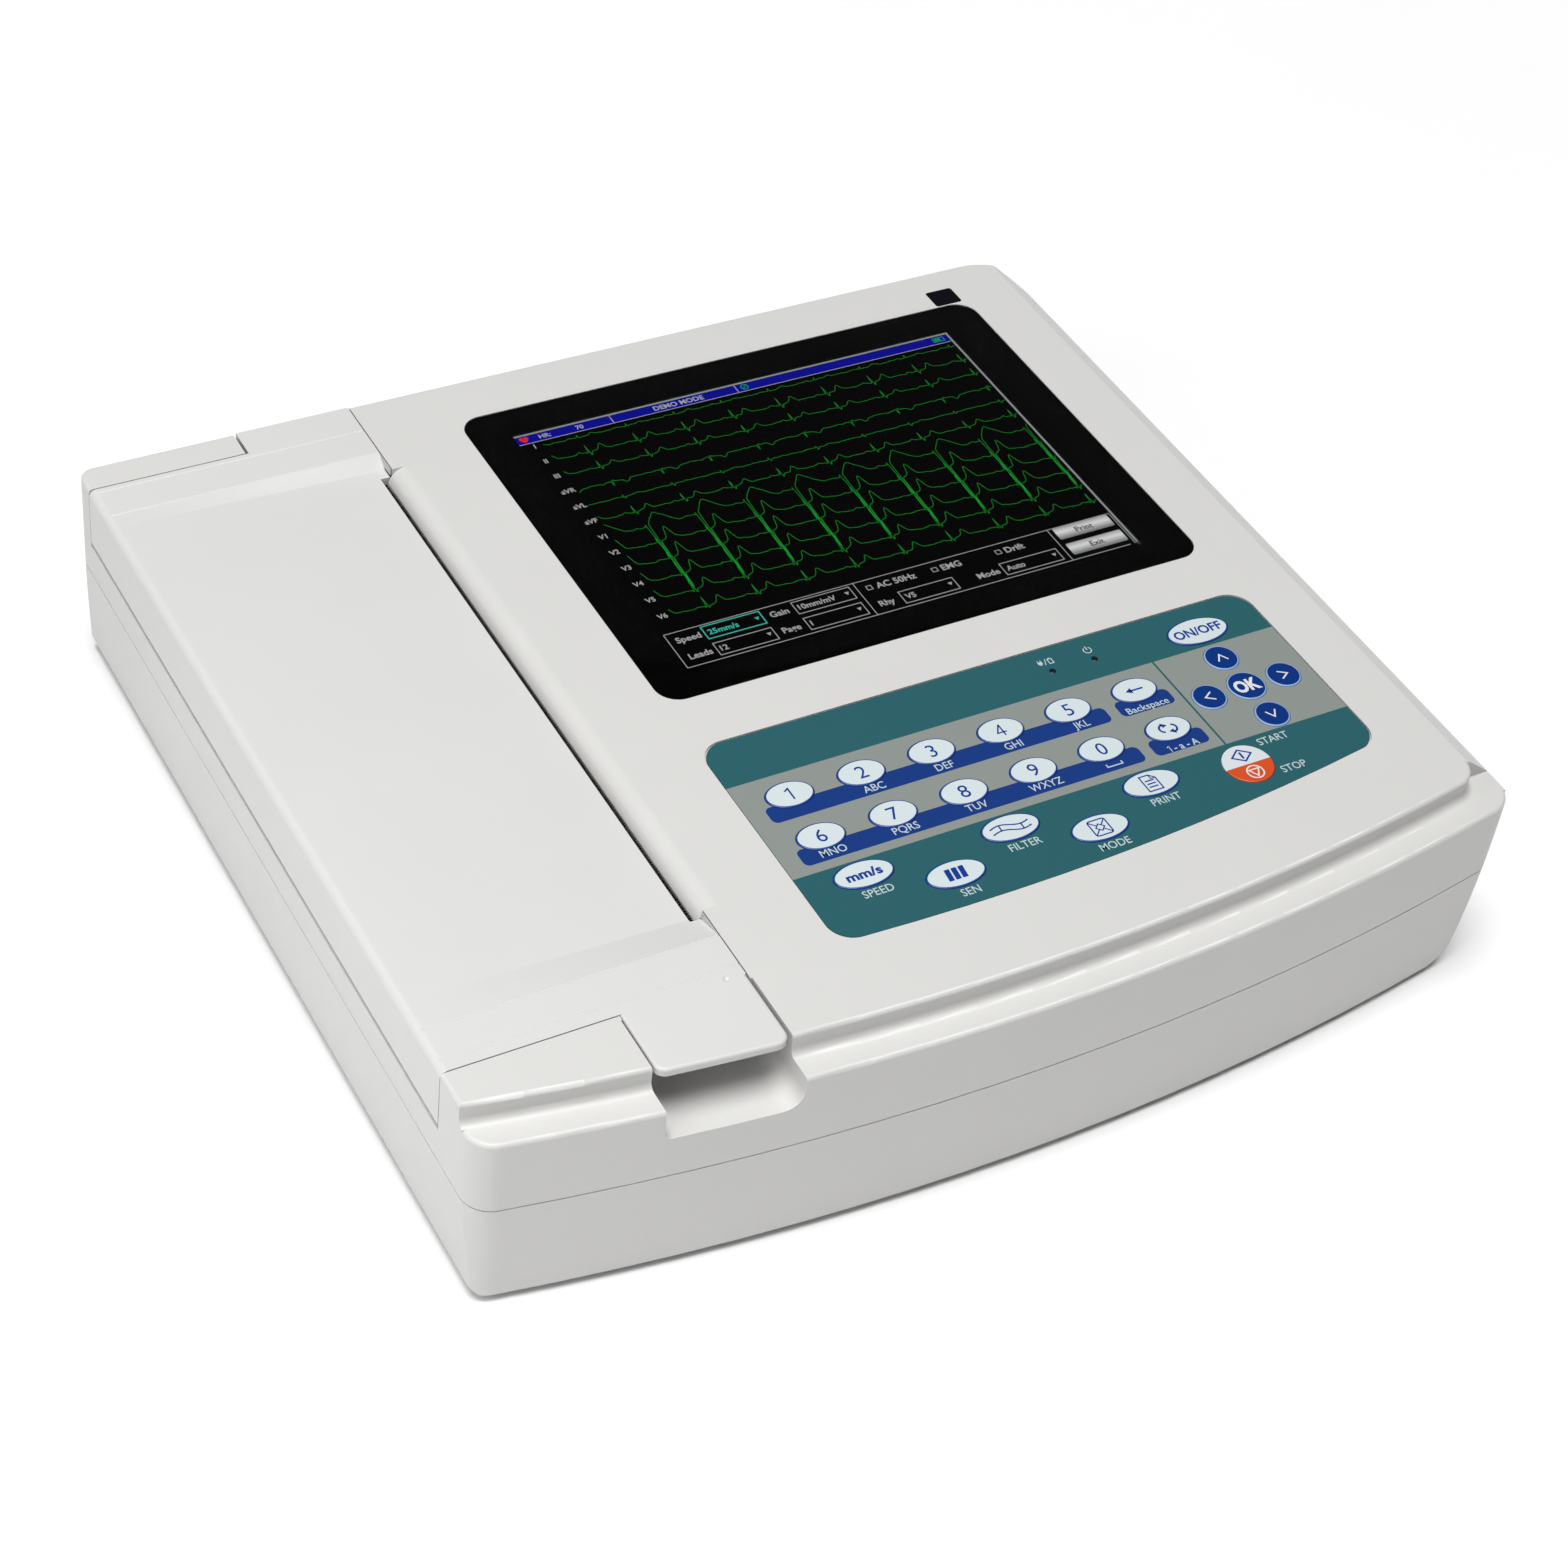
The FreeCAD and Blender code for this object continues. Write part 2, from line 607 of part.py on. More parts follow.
def make_printer_door():
    right = door_right
    panel = box(-half_width, right, door_front, door_back, top_z - door_thick, top_z)
    flap = box(-half_width, -half_width + door_thick, door_front, door_back, hinge_z, top_z)
    rear_tab = box(tab_left, right, door_back - 1, back_y, top_z - door_thick, top_z)
    front_tab = front_block(tab_left, right, door_front + 2, lip_depth - tab_front_overhang,
                            top_z - tab_thick, top_z)
    front_tab = rounded(front_tab, [(tab_left, front_at(tab_left, lip_depth - tab_front_overhang), 3.5),
                                    (right, front_at(right, lip_depth - tab_front_overhang), 3.5)])
    upper_edge = [edge for edge in front_tab.Edges
                  if lies_at(edge, top_z) and edge.BoundBox.YMin < door_front - 2 and edge.BoundBox.YLength < 10]
    front_tab = front_tab.makeFillet(tab_edge_r, upper_edge)
    bead = rod(hinge_x, door_front, hinge_z, bead_r, door_back - door_front)
    shell = fuse([panel, flap, rear_tab, front_tab, bead])
    outer_edge = [edge for edge in shell.Edges
                  if abs(edge.BoundBox.XMin + half_width) < 0.01 and edge.BoundBox.XLength < 0.01
                  and abs(edge.BoundBox.ZMin - top_z) < 0.01 and edge.BoundBox.YLength > 100]
    shell = shell.makeFillet(2.4, outer_edge)
    tray = dish_space()
    under_tray = tray.common(box(-200, right, -200, 200, 0, top_z)).translated(V(0, 0, -door_thick))
    shell = fuse([shell, under_tray]).cut(tray)
    # brackets that carry the platen
    for y in bracket_spots():
        cheek = box(platen_x - 5, platen_x + 5, y, y + bracket_thick, platen_z, 67.4)
        nose = rod(platen_x, y, platen_z, 5.0, bracket_thick)
        shell = fuse([shell, cheek, nose])
    shell = shell.cut(rod(platen_x, -120, platen_z, shaft_r + running_gap, 250))
    shell = shell.cut(box(slot_door_x, 0, slot_y[0] - 0.4, slot_y[1] + 0.4, 40, 100))
    shell = shell.cut(rod(hinge_x, door_front - 1, hinge_z, hinge_pin_r + running_gap,
                          door_back - door_front + 2))
    shell = shell.cut(Part.makeSphere(1.4, V(-86.8, -122.5, top_z + 0.9)))
    half = crease_width / 2
    for y in crease_y:
        groove = cross_prism([(y - half, top_z), (y, top_z - crease_depth), (y + half, top_z), (y, top_z + 1)],
                             -half_width - 1, right + 1)
        shell = shell.cut(groove)
    return shell.removeSplitter()


def bracket_spots():
    """Where each platen bracket begins along Y."""
    return (platen_y[0] - 2.0 - bracket_thick, platen_y[1] + 2.0)


def tear_strip():
    """The room in the rim for the tear bar."""
    return box(slot_body_x - 0.9, tear_back, slot_y[0] + 0.5, slot_y[1] - 0.5, *tear_z)


def make_tear_bar():
    """A serrated steel strip set in the rim of the paper slot."""
    tip = slot_body_x - 0.75
    root = slot_body_x - 0.1
    y = slot_y[0] + 0.5
    points = [(tear_back, y)]
    while y < slot_y[1] - 0.6 - tear_pitch / 2:
        points.append((root, y))
        points.append((tip, y + tear_pitch / 2))
        y += tear_pitch
    points.append((root, y))
    points.append((tear_back, y))
    return prism(points, *tear_z)


def make_hinge_pins():
    length = 9.0
    front = rod(hinge_x, door_front - door_gap - 4.5, hinge_z, hinge_pin_r, length)
    rear = rod(hinge_x, door_back + door_gap + 4.5 - length, hinge_z, hinge_pin_r, length)
    return group([front, rear])


# ---------------------------------------------------------------- gears
def involute_gear(teeth, x, z, y0, y1, first_tooth_deg, bore):
    """A spur gear on an axis along Y.  first_tooth_deg is where one tooth points, from +X towards +Z."""
    pitch_r = gear_module * teeth / 2
    base_r = pitch_r * math.cos(math.radians(20))
    tip_r = pitch_r + 0.92 * gear_module
    root_r = pitch_r - 1.2 * gear_module
    half_tooth = math.pi / (2 * teeth) - 0.07 / pitch_r

    def involute(r):
        a = math.acos(min(1.0, base_r / r))
        return math.tan(a) - a

    flank = []
    start_r = max(base_r, root_r + 0.15)
    for step in range(5):
        r = start_r + (tip_r - start_r) * step / 4
        flank.append((r, half_tooth + involute(pitch_r) - involute(r)))
    points = []
    for tooth in range(teeth):
        middle = math.radians(first_tooth_deg) + 2 * math.pi * tooth / teeth
        side = [(root_r, middle - flank[0][1])] + [(r, middle - a) for r, a in flank]
        side += [(r, middle + a) for r, a in reversed(flank)] + [(root_r, middle + flank[0][1])]
        points += [(x + r * math.cos(a), z + r * math.sin(a)) for r, a in side]
    wheel = side_prism(points, y0, y1)
    if bore:
        wheel = wheel.cut(rod(x, y0 - 1, z, bore, y1 - y0 + 2))
    return wheel


def idler_centre():
    reach = gear_module * (platen_teeth + idler_teeth) / 2 + mesh_play
    return platen_x, platen_z - reach


def pinion_centre():
    x, z = idler_centre()
    reach = gear_module * (idler_teeth + pinion_teeth) / 2 + mesh_play
    angle = math.radians(pinion_angle)
    return x + reach * math.cos(angle), z + reach * math.sin(angle)


def make_platen_gear():
    gap_half = 180.0 / platen_teeth
    return involute_gear(platen_teeth, platen_x, platen_z, gear_y[0], gear_y[1], -90.0 + gap_half, shaft_r)


def make_idler_gear():
    x, z = idler_centre()
    wheel = involute_gear(idler_teeth, x, z, gear_y[0], gear_y[1], 90.0, 2.0 + running_gap)
    for index in range(6):
        angle = math.radians(60 * index + 30)
        wheel = wheel.cut(rod(x + 6.6 * math.cos(angle), 120, z + 6.6 * math.sin(angle), 1.8, 20))
    return wheel


def make_motor_pinion():
    x, z = pinion_centre()
    gap_half = 180.0 / pinion_teeth
    pinion = involute_gear(pinion_teeth, x, z, gear_y[0], gear_y[1], pinion_angle + 180.0 + gap_half, 0.0)
    shaft = rod(x, plate_y[0] - 18, z, 2.5, gear_y[1] - plate_y[0] + 18)
    return fuse([pinion, shaft])


def make_stepper_motor():
    x, z = pinion_centre()
    half = motor_size / 2
    y1 = plate_y[0]
    y0 = y1 - motor_length
    body = box(x - half, x + half, y0, y1, z - half, z + half)
    for dx in (-1, 1):
        for dz in (-1, 1):
            edges = [edge for edge in body.Edges
                     if edge.BoundBox.YLength > 20 and edge.BoundBox.XLength < 0.01
                     and abs(edge.BoundBox.XMin - (x + dx * half)) < 0.01
                     and abs(edge.BoundBox.ZMin - (z + dz * half)) < 0.01]
            body = body.makeChamfer(3.0, edges)
    return body.cut(rod(x, y0 + 4, z, 2.5 + running_gap, motor_length))


def make_gear_plate():
    x, z = pinion_centre()
    ix, iz = idler_centre()
    low, fold, high = plate_z
    sheet = box(*plate_x, *plate_y, low, high)
    foot = box(*plate_x, plate_y[1], plate_y[1] + 14.0, low, fold)
    stud = rod(ix, plate_y[1], iz, 2.0, gear_y[1] - plate_y[1] + 0.8)
    sheet = fuse([sheet, foot, stud])
    return sheet.cut(rod(x, 120, z, 11.0, 10))


# ---------------------------------------------------------------- print mechanism
def make_platen_shaft():
    return rod(platen_x, bracket_spots()[0] - 1.0, platen_z, shaft_r, gear_y[1] + 1.5 - bracket_spots()[0] + 1.0)


def make_platen_rubber():
    tube = rod(platen_x, platen_y[0], platen_z, platen_r, platen_y[1] - platen_y[0])
    return tube.cut(rod(platen_x, platen_y[0] - 1, platen_z, shaft_r, platen_y[1] - platen_y[0] + 2))


def make_print_head():
    face_x = platen_x + platen_r + head_gap
    board = box(face_x, face_x + head_thick, slot_y[0] + 1, slot_y[1] - 1, *head_z)
    plug = box(face_x, face_x + 6.0, -20, 20, head_z[0] - 6.5, head_z[0])
    return fuse([board, plug])


def make_head_heatsink():
    x0 = platen_x + platen_r + head_gap + head_thick
    bar = box(x0, x0 + heatsink_thick, slot_y[0] + 1, slot_y[1] - 1, *head_z)
    for step in range(4):
        z = head_z[0] + 2.0 + 2.6 * step
        bar = bar.cut(box(x0 + 2.5, x0 + heatsink_thick + 1, slot_y[0], slot_y[1], z, z + 1.2))
    return bar


def make_head_springs():
    """Three springs that push the head against the platen, drawn as their outer sleeves."""
    x0 = platen_x + platen_r + head_gap + head_thick + heatsink_thick
    springs = []
    for y in spring_spots:
        outer = rod(x0, y, spring_z, spring_outer_r, spring_stop_x - x0, "x")
        springs.append(outer.cut(rod(x0 - 1, y, spring_z, spring_inner_r, 20, "x")))
    return group(springs)


def make_paper_bay():
    """Open-topped tray that holds the paper roll."""
    x0, x1 = bay_x
    reach = roll_length / 2 + bay_side_gap + bay_wall
    y0 = roll_middle_y - reach
    y1 = roll_middle_y + reach
    z0, z1 = bay_z
    room = box(x0 + bay_wall, x1 - bay_wall, y0 + bay_wall, y1 - bay_wall, z0 + bay_wall, z1 + 5)
    tray = box(x0, x1, y0, y1, z0, z1).cut(room)
    tray = tray.cut(box(x1 - 3, x1 + 1, y0 + 4, y1 - 4, 44.0, z1 + 5))
    tray = tray.cut(rod(roll_x, y0 - 5, roll_z, shaft_r + running_gap, roll_length + 20))
    slot_half = shaft_r + running_gap
    return tray.cut(box(roll_x - slot_half, roll_x + slot_half, y0 - 5, y1 + 5, roll_z, z1 + 5))


def make_paper_roll():
    y0 = roll_middle_y - roll_length / 2
    roll = rod(roll_x, y0, roll_z, roll_r, roll_length)
    return roll.cut(rod(roll_x, y0 - 1, roll_z, core_r, roll_length + 2))


def make_roll_spindle():
    y0 = roll_middle_y - roll_length / 2
    y1 = roll_middle_y + roll_length / 2
    barrel = rod(roll_x, y0 - 1.5, roll_z, core_r - 0.1, roll_length + 3)
    collars = [rod(roll_x, y0 - 1.5, roll_z, collar_r, 1.3), rod(roll_x, y1 + 0.2, roll_z, collar_r, 1.3)]
    journal = rod(roll_x, y0 - 6.0, roll_z, shaft_r, roll_length + 12)
    return fuse([barrel, journal] + collars)


# ---------------------------------------------------------------- electronics
def make_main_board():
    face = main_board_z + board_thick
    board = box(*main_board_box, main_board_z, face)
    chips = [box(x, x + w, y, y + d, face, face + h) for x, y, w, d, h in
             ((10, -60, 28, 28, 2.4), (55, -60, 18, 18, 1.6), (55, -30, 18, 10, 1.6), (90, -80, 30, 22, 9.0),
              (-30, 20, 24, 14, 6.0), (20, 20, 40, 8, 5.0), (90, 10, 22, 16, 2.0))]
    return group([board] + chips)


def make_power_board():
    face = power_board_z + board_thick
    board = box(*power_board_box, power_board_z, face)
    transformer = box(60.0, 92.0, 78.0, 108.0, face, 33.0)
    capacitor = rod(112.0, 92.0, face, 9.0, 22.0, "z")
    sink = box(40.0, 44.0, 72.0, 112.0, face, 32.0)
    legs = box(34.0, 134.0, 68.0, 118.0, base_z + wall, power_board_z)
    legs = legs.cut(box(38.0, 130.0, 60, 130, 0, power_board_z + 1))
    return group([board, transformer, capacitor, sink] + legs.Solids)


def make_battery_pack():
    x0, x1, y0, y1 = battery_box
    z0, z1 = battery_z
    cells = []
    width = (x1 - x0) / 4
    for index in range(4):
        x = x0 + width * (index + 0.5)
        cells.append(rod(x, y0, (z0 + z1) / 2, width / 2, y1 - y0))
    wrap = box(x0 + width / 2, x1 - width / 2, y0, y1, z0 + 0.6, z1 - 0.6)
    return fuse(cells + [wrap])


def make_speaker():
    frame = rod(*speaker_centre, base_z + wall, speaker_r, 4.0, "z")
    magnet = rod(*speaker_centre, base_z + wall + 4.0, 10.0, 7.0, "z")
    return fuse([frame, magnet])


# ---------------------------------------------------------------- outside interfaces
def make_mains_inlet():
    flange = box(inlet_x - 16.0, inlet_x + 16.0, back_y, back_y + 2.0, rear_z - 12.0, rear_z + 12.0)
    body = box(inlet_x - 13.8, inlet_x + 13.8, back_y - 18.0, back_y, rear_z - 9.8, rear_z + 9.8)
    shell = fuse([flange, body])
    mouth = box(inlet_x - 12.2, inlet_x + 12.2, back_y - 15.5, back_y + 5, rear_z - 8.2, rear_z + 8.2)
    shell = shell.cut(mouth)
    pins = [box(inlet_x + dx - 2.0, inlet_x + dx + 2.0, back_y - 17.0, back_y - 3.0,
                rear_z + dz - 1.0, rear_z + dz + 1.0) for dx, dz in ((-7.0, -2.0), (7.0, -2.0), (0.0, 2.5))]
    return fuse([shell] + pins)


def make_switch_frame():
    flange = box(switch_x - 11.5, switch_x + 11.5, back_y, back_y + 1.5, rear_z - 8.0, rear_z + 8.0)
    body = box(switch_x - 9.4, switch_x + 9.4, back_y - 16.0, back_y, rear_z - 6.4, rear_z + 6.4)
    frame = fuse([flange, body]).cut(box(switch_x - 8.2, switch_x + 8.2, back_y - 9.0, back_y + 5,
                                         rear_z - 5.2, rear_z + 5.2))
    return frame.cut(rod(switch_x, back_y - rocker_depth, rear_z - 6.1, axle_r + running_gap, 12.2, "z"))


def make_power_rocker():
    """Seesaw of the mains switch: a shallow V face on a pivot along Z, shown in its off position."""
    outline = [(-7.2, 1.7), (0.0, 0.4), (7.2, 1.7), (6.6, -3.2), (-6.6, -3.2)]
    rocker = prism(outline, rear_z - 4.9, rear_z + 4.9)
    rocker = fuse([rocker, rod(0, 0, rear_z - 6.0, axle_r, 12.0, "z")])
    rocker.rotate(V(0, 0, 0), AXES["z"], rocker_tilt)
    rocker.translate(V(switch_x, back_y - rocker_depth, 0))
    return rocker


def make_ground_post():
    pin = rod(post_x, back_y, rear_z, post_r, post_length)
    groove = rod(post_x, back_y + 5.0, rear_z, 5.0, 2.4).cut(rod(post_x, back_y + 4.0, rear_z, 2.5, 5.0))
    stem = rod(post_x, back_y - 8.0, rear_z, post_r, 8.0)
    collar = rod(post_x, back_y, rear_z, 6.0, 2.0)
    nut = rod(post_x, back_y - wall - 3.0, rear_z, 5.5, 3.0)
    return fuse([pin.cut(groove), stem, collar, nut])


def make_ecg_socket():
    flange = box(panel_x, panel_x + 1.0, ecg_y - 19.6, ecg_y + 19.6, port_z - 6.2, port_z + 6.2)
    corners = [(ecg_y - 9.4, port_z - 4.4), (ecg_y + 9.4, port_z - 4.4),
               (ecg_y + 8.4, port_z + 4.4), (ecg_y - 8.4, port_z + 4.4)]
    inner = [(ecg_y - 8.8, port_z - 3.8), (ecg_y + 8.8, port_z - 3.8),
             (ecg_y + 7.9, port_z + 3.8), (ecg_y - 7.9, port_z + 3.8)]
    shell = cross_prism(corners, panel_x - 8.0, panel_x + 6.5)
    shell = shell.cut(cross_prism(inner, panel_x - 0.5, panel_x + 8))
    insert = cross_prism([(y * 0.96 + ecg_y * 0.04, z * 0.94 + port_z * 0.06) for y, z in inner],
                         panel_x - 0.5, panel_x + 1.5)
    for row, count in ((1.4, 8), (-1.4, 7)):
        for index in range(count):
            y = ecg_y + (index - (count - 1) / 2) * 2.05
            insert = insert.cut(rod(panel_x + 0.3, y, port_z + row, 0.6, 3, "x"))
    jacks = []
    for side in (-0.5, 0.5):
        y = ecg_y + side * ecg_pitch
        jack = rod(panel_x + 1.0, y, port_z, 2.6, 4.5, "x").cut(rod(panel_x + 1.5, y, port_z, 1.4, 6, "x"))
        jacks += [jack, rod(panel_x - 6.0, y, port_z, jack_stud_r, 7.0, "x")]
    return fuse([flange, shell, insert] + jacks)


def make_data_ports():
    usb = box(panel_x - 12.0, panel_x + 0.8, usb_y - 6.6, usb_y + 6.6, port_z - 3.4, port_z + 3.4)
    usb = usb.cut(box(panel_x - 9.0, panel_x + 2, usb_y - 6.0, usb_y + 6.0, port_z - 2.5, port_z + 2.5))
    tongue = box(panel_x - 9.5, panel_x - 0.5, usb_y - 5.2, usb_y + 5.2, port_z + 0.2, port_z + 1.8)
    lan = box(panel_x - 14.0, panel_x + 0.8, lan_y - 8.0, lan_y + 8.0, port_z - 6.8, port_z + 6.8)
    lan = lan.cut(box(panel_x - 11.0, panel_x + 2, lan_y - 5.9, lan_y + 5.9, port_z - 4.4, port_z + 3.4))
    lan = lan.cut(box(panel_x - 8.0, panel_x + 2, lan_y - 3.0, lan_y + 3.0, port_z + 3.0, port_z + 5.2))
    return group([fuse([usb, tongue]), lan])


def make_rubber_feet():
    feet = []
    for x, y in foot_spots:
        foot = rod(x, y, 0, foot_r, base_z, "z")
        rim = [edge for edge in foot.Edges if edge.BoundBox.ZMax < 0.01]
        feet.append(foot.makeChamfer(foot_chamfer, rim))
    return group(feet)


def make_case_screws():
    """Pan-head screws driven from below, one through each boss."""
    screws = []
    for x, y in boss_spots:
        head = rod(x, y, screw_seat_z - screw_head_thick, screw_head_r, screw_head_thick, "z")
        shank = rod(x, y, screw_seat_z, screw_r, seam_z, "z")
        cross = fuse([box(x - 1.6, x + 1.6, y - 0.4, y + 0.4, 9.0, 10.8),
                      box(x - 0.4, x + 0.4, y - 1.6, y + 1.6, 9.0, 10.8)])
        screws.append(fuse([head, shank]).cut(cross))
    return group(screws)


# ---------------------------------------------------------------- all nodes
def all_nodes():
    nodes = {
        "top_case": make_top_case(),
        "bottom_case": make_bottom_case(),
        "battery_door": make_battery_door(),
        "display_glass": make_display_glass(),
        "lcd_panel": make_lcd_panel(),
        "sensor_window": make_sensor_window(),
        "keypad_overlay": make_keypad_overlay(),
        "keypad_board": make_keypad_board(),
        "main_board": make_main_board(),
        "power_board": make_power_board(),
        "battery_pack": make_battery_pack(),
        "speaker": make_speaker(),
        "mains_inlet": make_mains_inlet(),
        "switch_frame": make_switch_frame(),
        "power_rocker": make_power_rocker(),
        "ground_post": make_ground_post(),
        "ecg_socket": make_ecg_socket(),
        "data_ports": make_data_ports(),
        "rubber_feet": make_rubber_feet(),
        "case_screws": make_case_screws(),
        "paper_bay": make_paper_bay(),
        "paper_roll": make_paper_roll(),
        "roll_spindle": make_roll_spindle(),
        "printer_door": make_printer_door(),
        "hinge_pins": make_hinge_pins(),
        "tear_bar": make_tear_bar(),
        "platen_shaft": make_platen_shaft(),
        "platen_rubber": make_platen_rubber(),
        "platen_gear": make_platen_gear(),
        "idler_gear": make_idler_gear(),
        "motor_pinion": make_motor_pinion(),
        "stepper_motor": make_stepper_motor(),
        "gear_plate": make_gear_plate(),
        "print_head": make_print_head(),
        "head_heatsink": make_head_heatsink(),
        "head_springs": make_head_springs(),
    }
    for name, x, y, size in key_table():
        nodes[name] = make_key(x, y, size)
    return nodes


os.makedirs("parts", exist_ok=True)
for node_name, node_shape in all_nodes().items():
    node_shape.exportStep(f"parts/{node_name}.step")
    bounds = node_shape.BoundBox
    print(f"{node_name}: solids {len(node_shape.Solids)} valid {node_shape.isValid()} "
          f"x {bounds.XMin:.1f}..{bounds.XMax:.1f} y {bounds.YMin:.1f}..{bounds.YMax:.1f} "
          f"z {bounds.ZMin:.1f}..{bounds.ZMax:.1f}")
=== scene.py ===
import math

import bmesh
import bpy
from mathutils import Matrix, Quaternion, Vector


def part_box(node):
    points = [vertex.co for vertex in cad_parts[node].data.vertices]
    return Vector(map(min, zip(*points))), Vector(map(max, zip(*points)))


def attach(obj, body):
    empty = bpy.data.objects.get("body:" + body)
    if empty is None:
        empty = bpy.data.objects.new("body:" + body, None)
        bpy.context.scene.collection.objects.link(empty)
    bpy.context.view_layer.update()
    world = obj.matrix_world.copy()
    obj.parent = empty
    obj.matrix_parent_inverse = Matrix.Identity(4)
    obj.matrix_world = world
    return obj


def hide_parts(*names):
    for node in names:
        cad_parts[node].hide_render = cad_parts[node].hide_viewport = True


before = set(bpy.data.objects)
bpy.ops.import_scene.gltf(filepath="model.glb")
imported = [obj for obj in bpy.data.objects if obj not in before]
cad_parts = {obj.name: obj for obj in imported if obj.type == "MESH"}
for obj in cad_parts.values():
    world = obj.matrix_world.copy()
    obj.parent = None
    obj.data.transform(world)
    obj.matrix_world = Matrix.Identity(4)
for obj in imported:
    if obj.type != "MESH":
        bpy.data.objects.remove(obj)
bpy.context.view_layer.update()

MM = 0.001

# ---------------------------------------------------------------- places
# camera and stage
camera_place = (-426.8, -640.3, 716.7)
camera_aim = (8.5, 4.1, 0.0)
camera_roll = 7.9
camera_lens = 75.88
floor_half = 30000.0

# keypad print
band_top_y = -56.0
band_low_y = -96.0
divider_x = 96.1
divider_half = 0.35
strip_left_x = -45.7
strip_right_x = 70.2
strip_rows = ((-74.2, -67.5), (-92.9, -86.1))
short_strip_x = (73.9, 93.1)
strip_corner = 2.0
label_y = (-71.7, -90.1)
label_cap = 2.75
label_wide = 0.92
label_bold = 0.006
label_drop = 7.3                # from the centre of an oval key to the label under it
lamp_from_key = ((5.4, 17.2), (20.6, 17.2))
lens_radius = 1.02
print_lift = 0.01
print_thick = 0.02

# keys
flange = 0.8
outline_width = 0.5
legend_thick = 0.03
digit_cap = 4.9
fine_stroke = 0.4
icon_stroke = 0.46
bold_stroke = 0.65
start_sign_y = 3.6
stop_sign_y = -3.9

# display
active_x = (-37.5, 124.5)
active_y = (-5.4, 116.1)
glass_gap = 0.08
layer = 0.03
trace_left = -30.0
trace_right = 124.4
beat_first = -17.9
beat_pitch = 17.5
trace_top = 109.3
trace_pitch = 8.16
panel_top = 12.2
panel_low = -3.8
trace_width = 0.14
lead_names_x = -32.9
status_bar = 3.9
field_high = 5.6
field_rows_y = (5.6, -2.3)
button_x = (102.2, 122.8)
button_rows = (("print", 6.4, "Print"), ("exit", -1.6, "Exit"))
pane_radius = 7.5
pane_bevel = 0.35

# finishes of the inner parts
circuit_top = 1.61              # just above the face of a circuit board 1.6 thick
power_circuit_z = (9.99, 11.62)
head_base_z = 51.0
heater_z = (57.6, 59.4)
far = 99.0


def limits(node):
    """Lowest and highest corner of a CAD node in millimetres."""
    low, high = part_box(node)
    return low / MM, high / MM


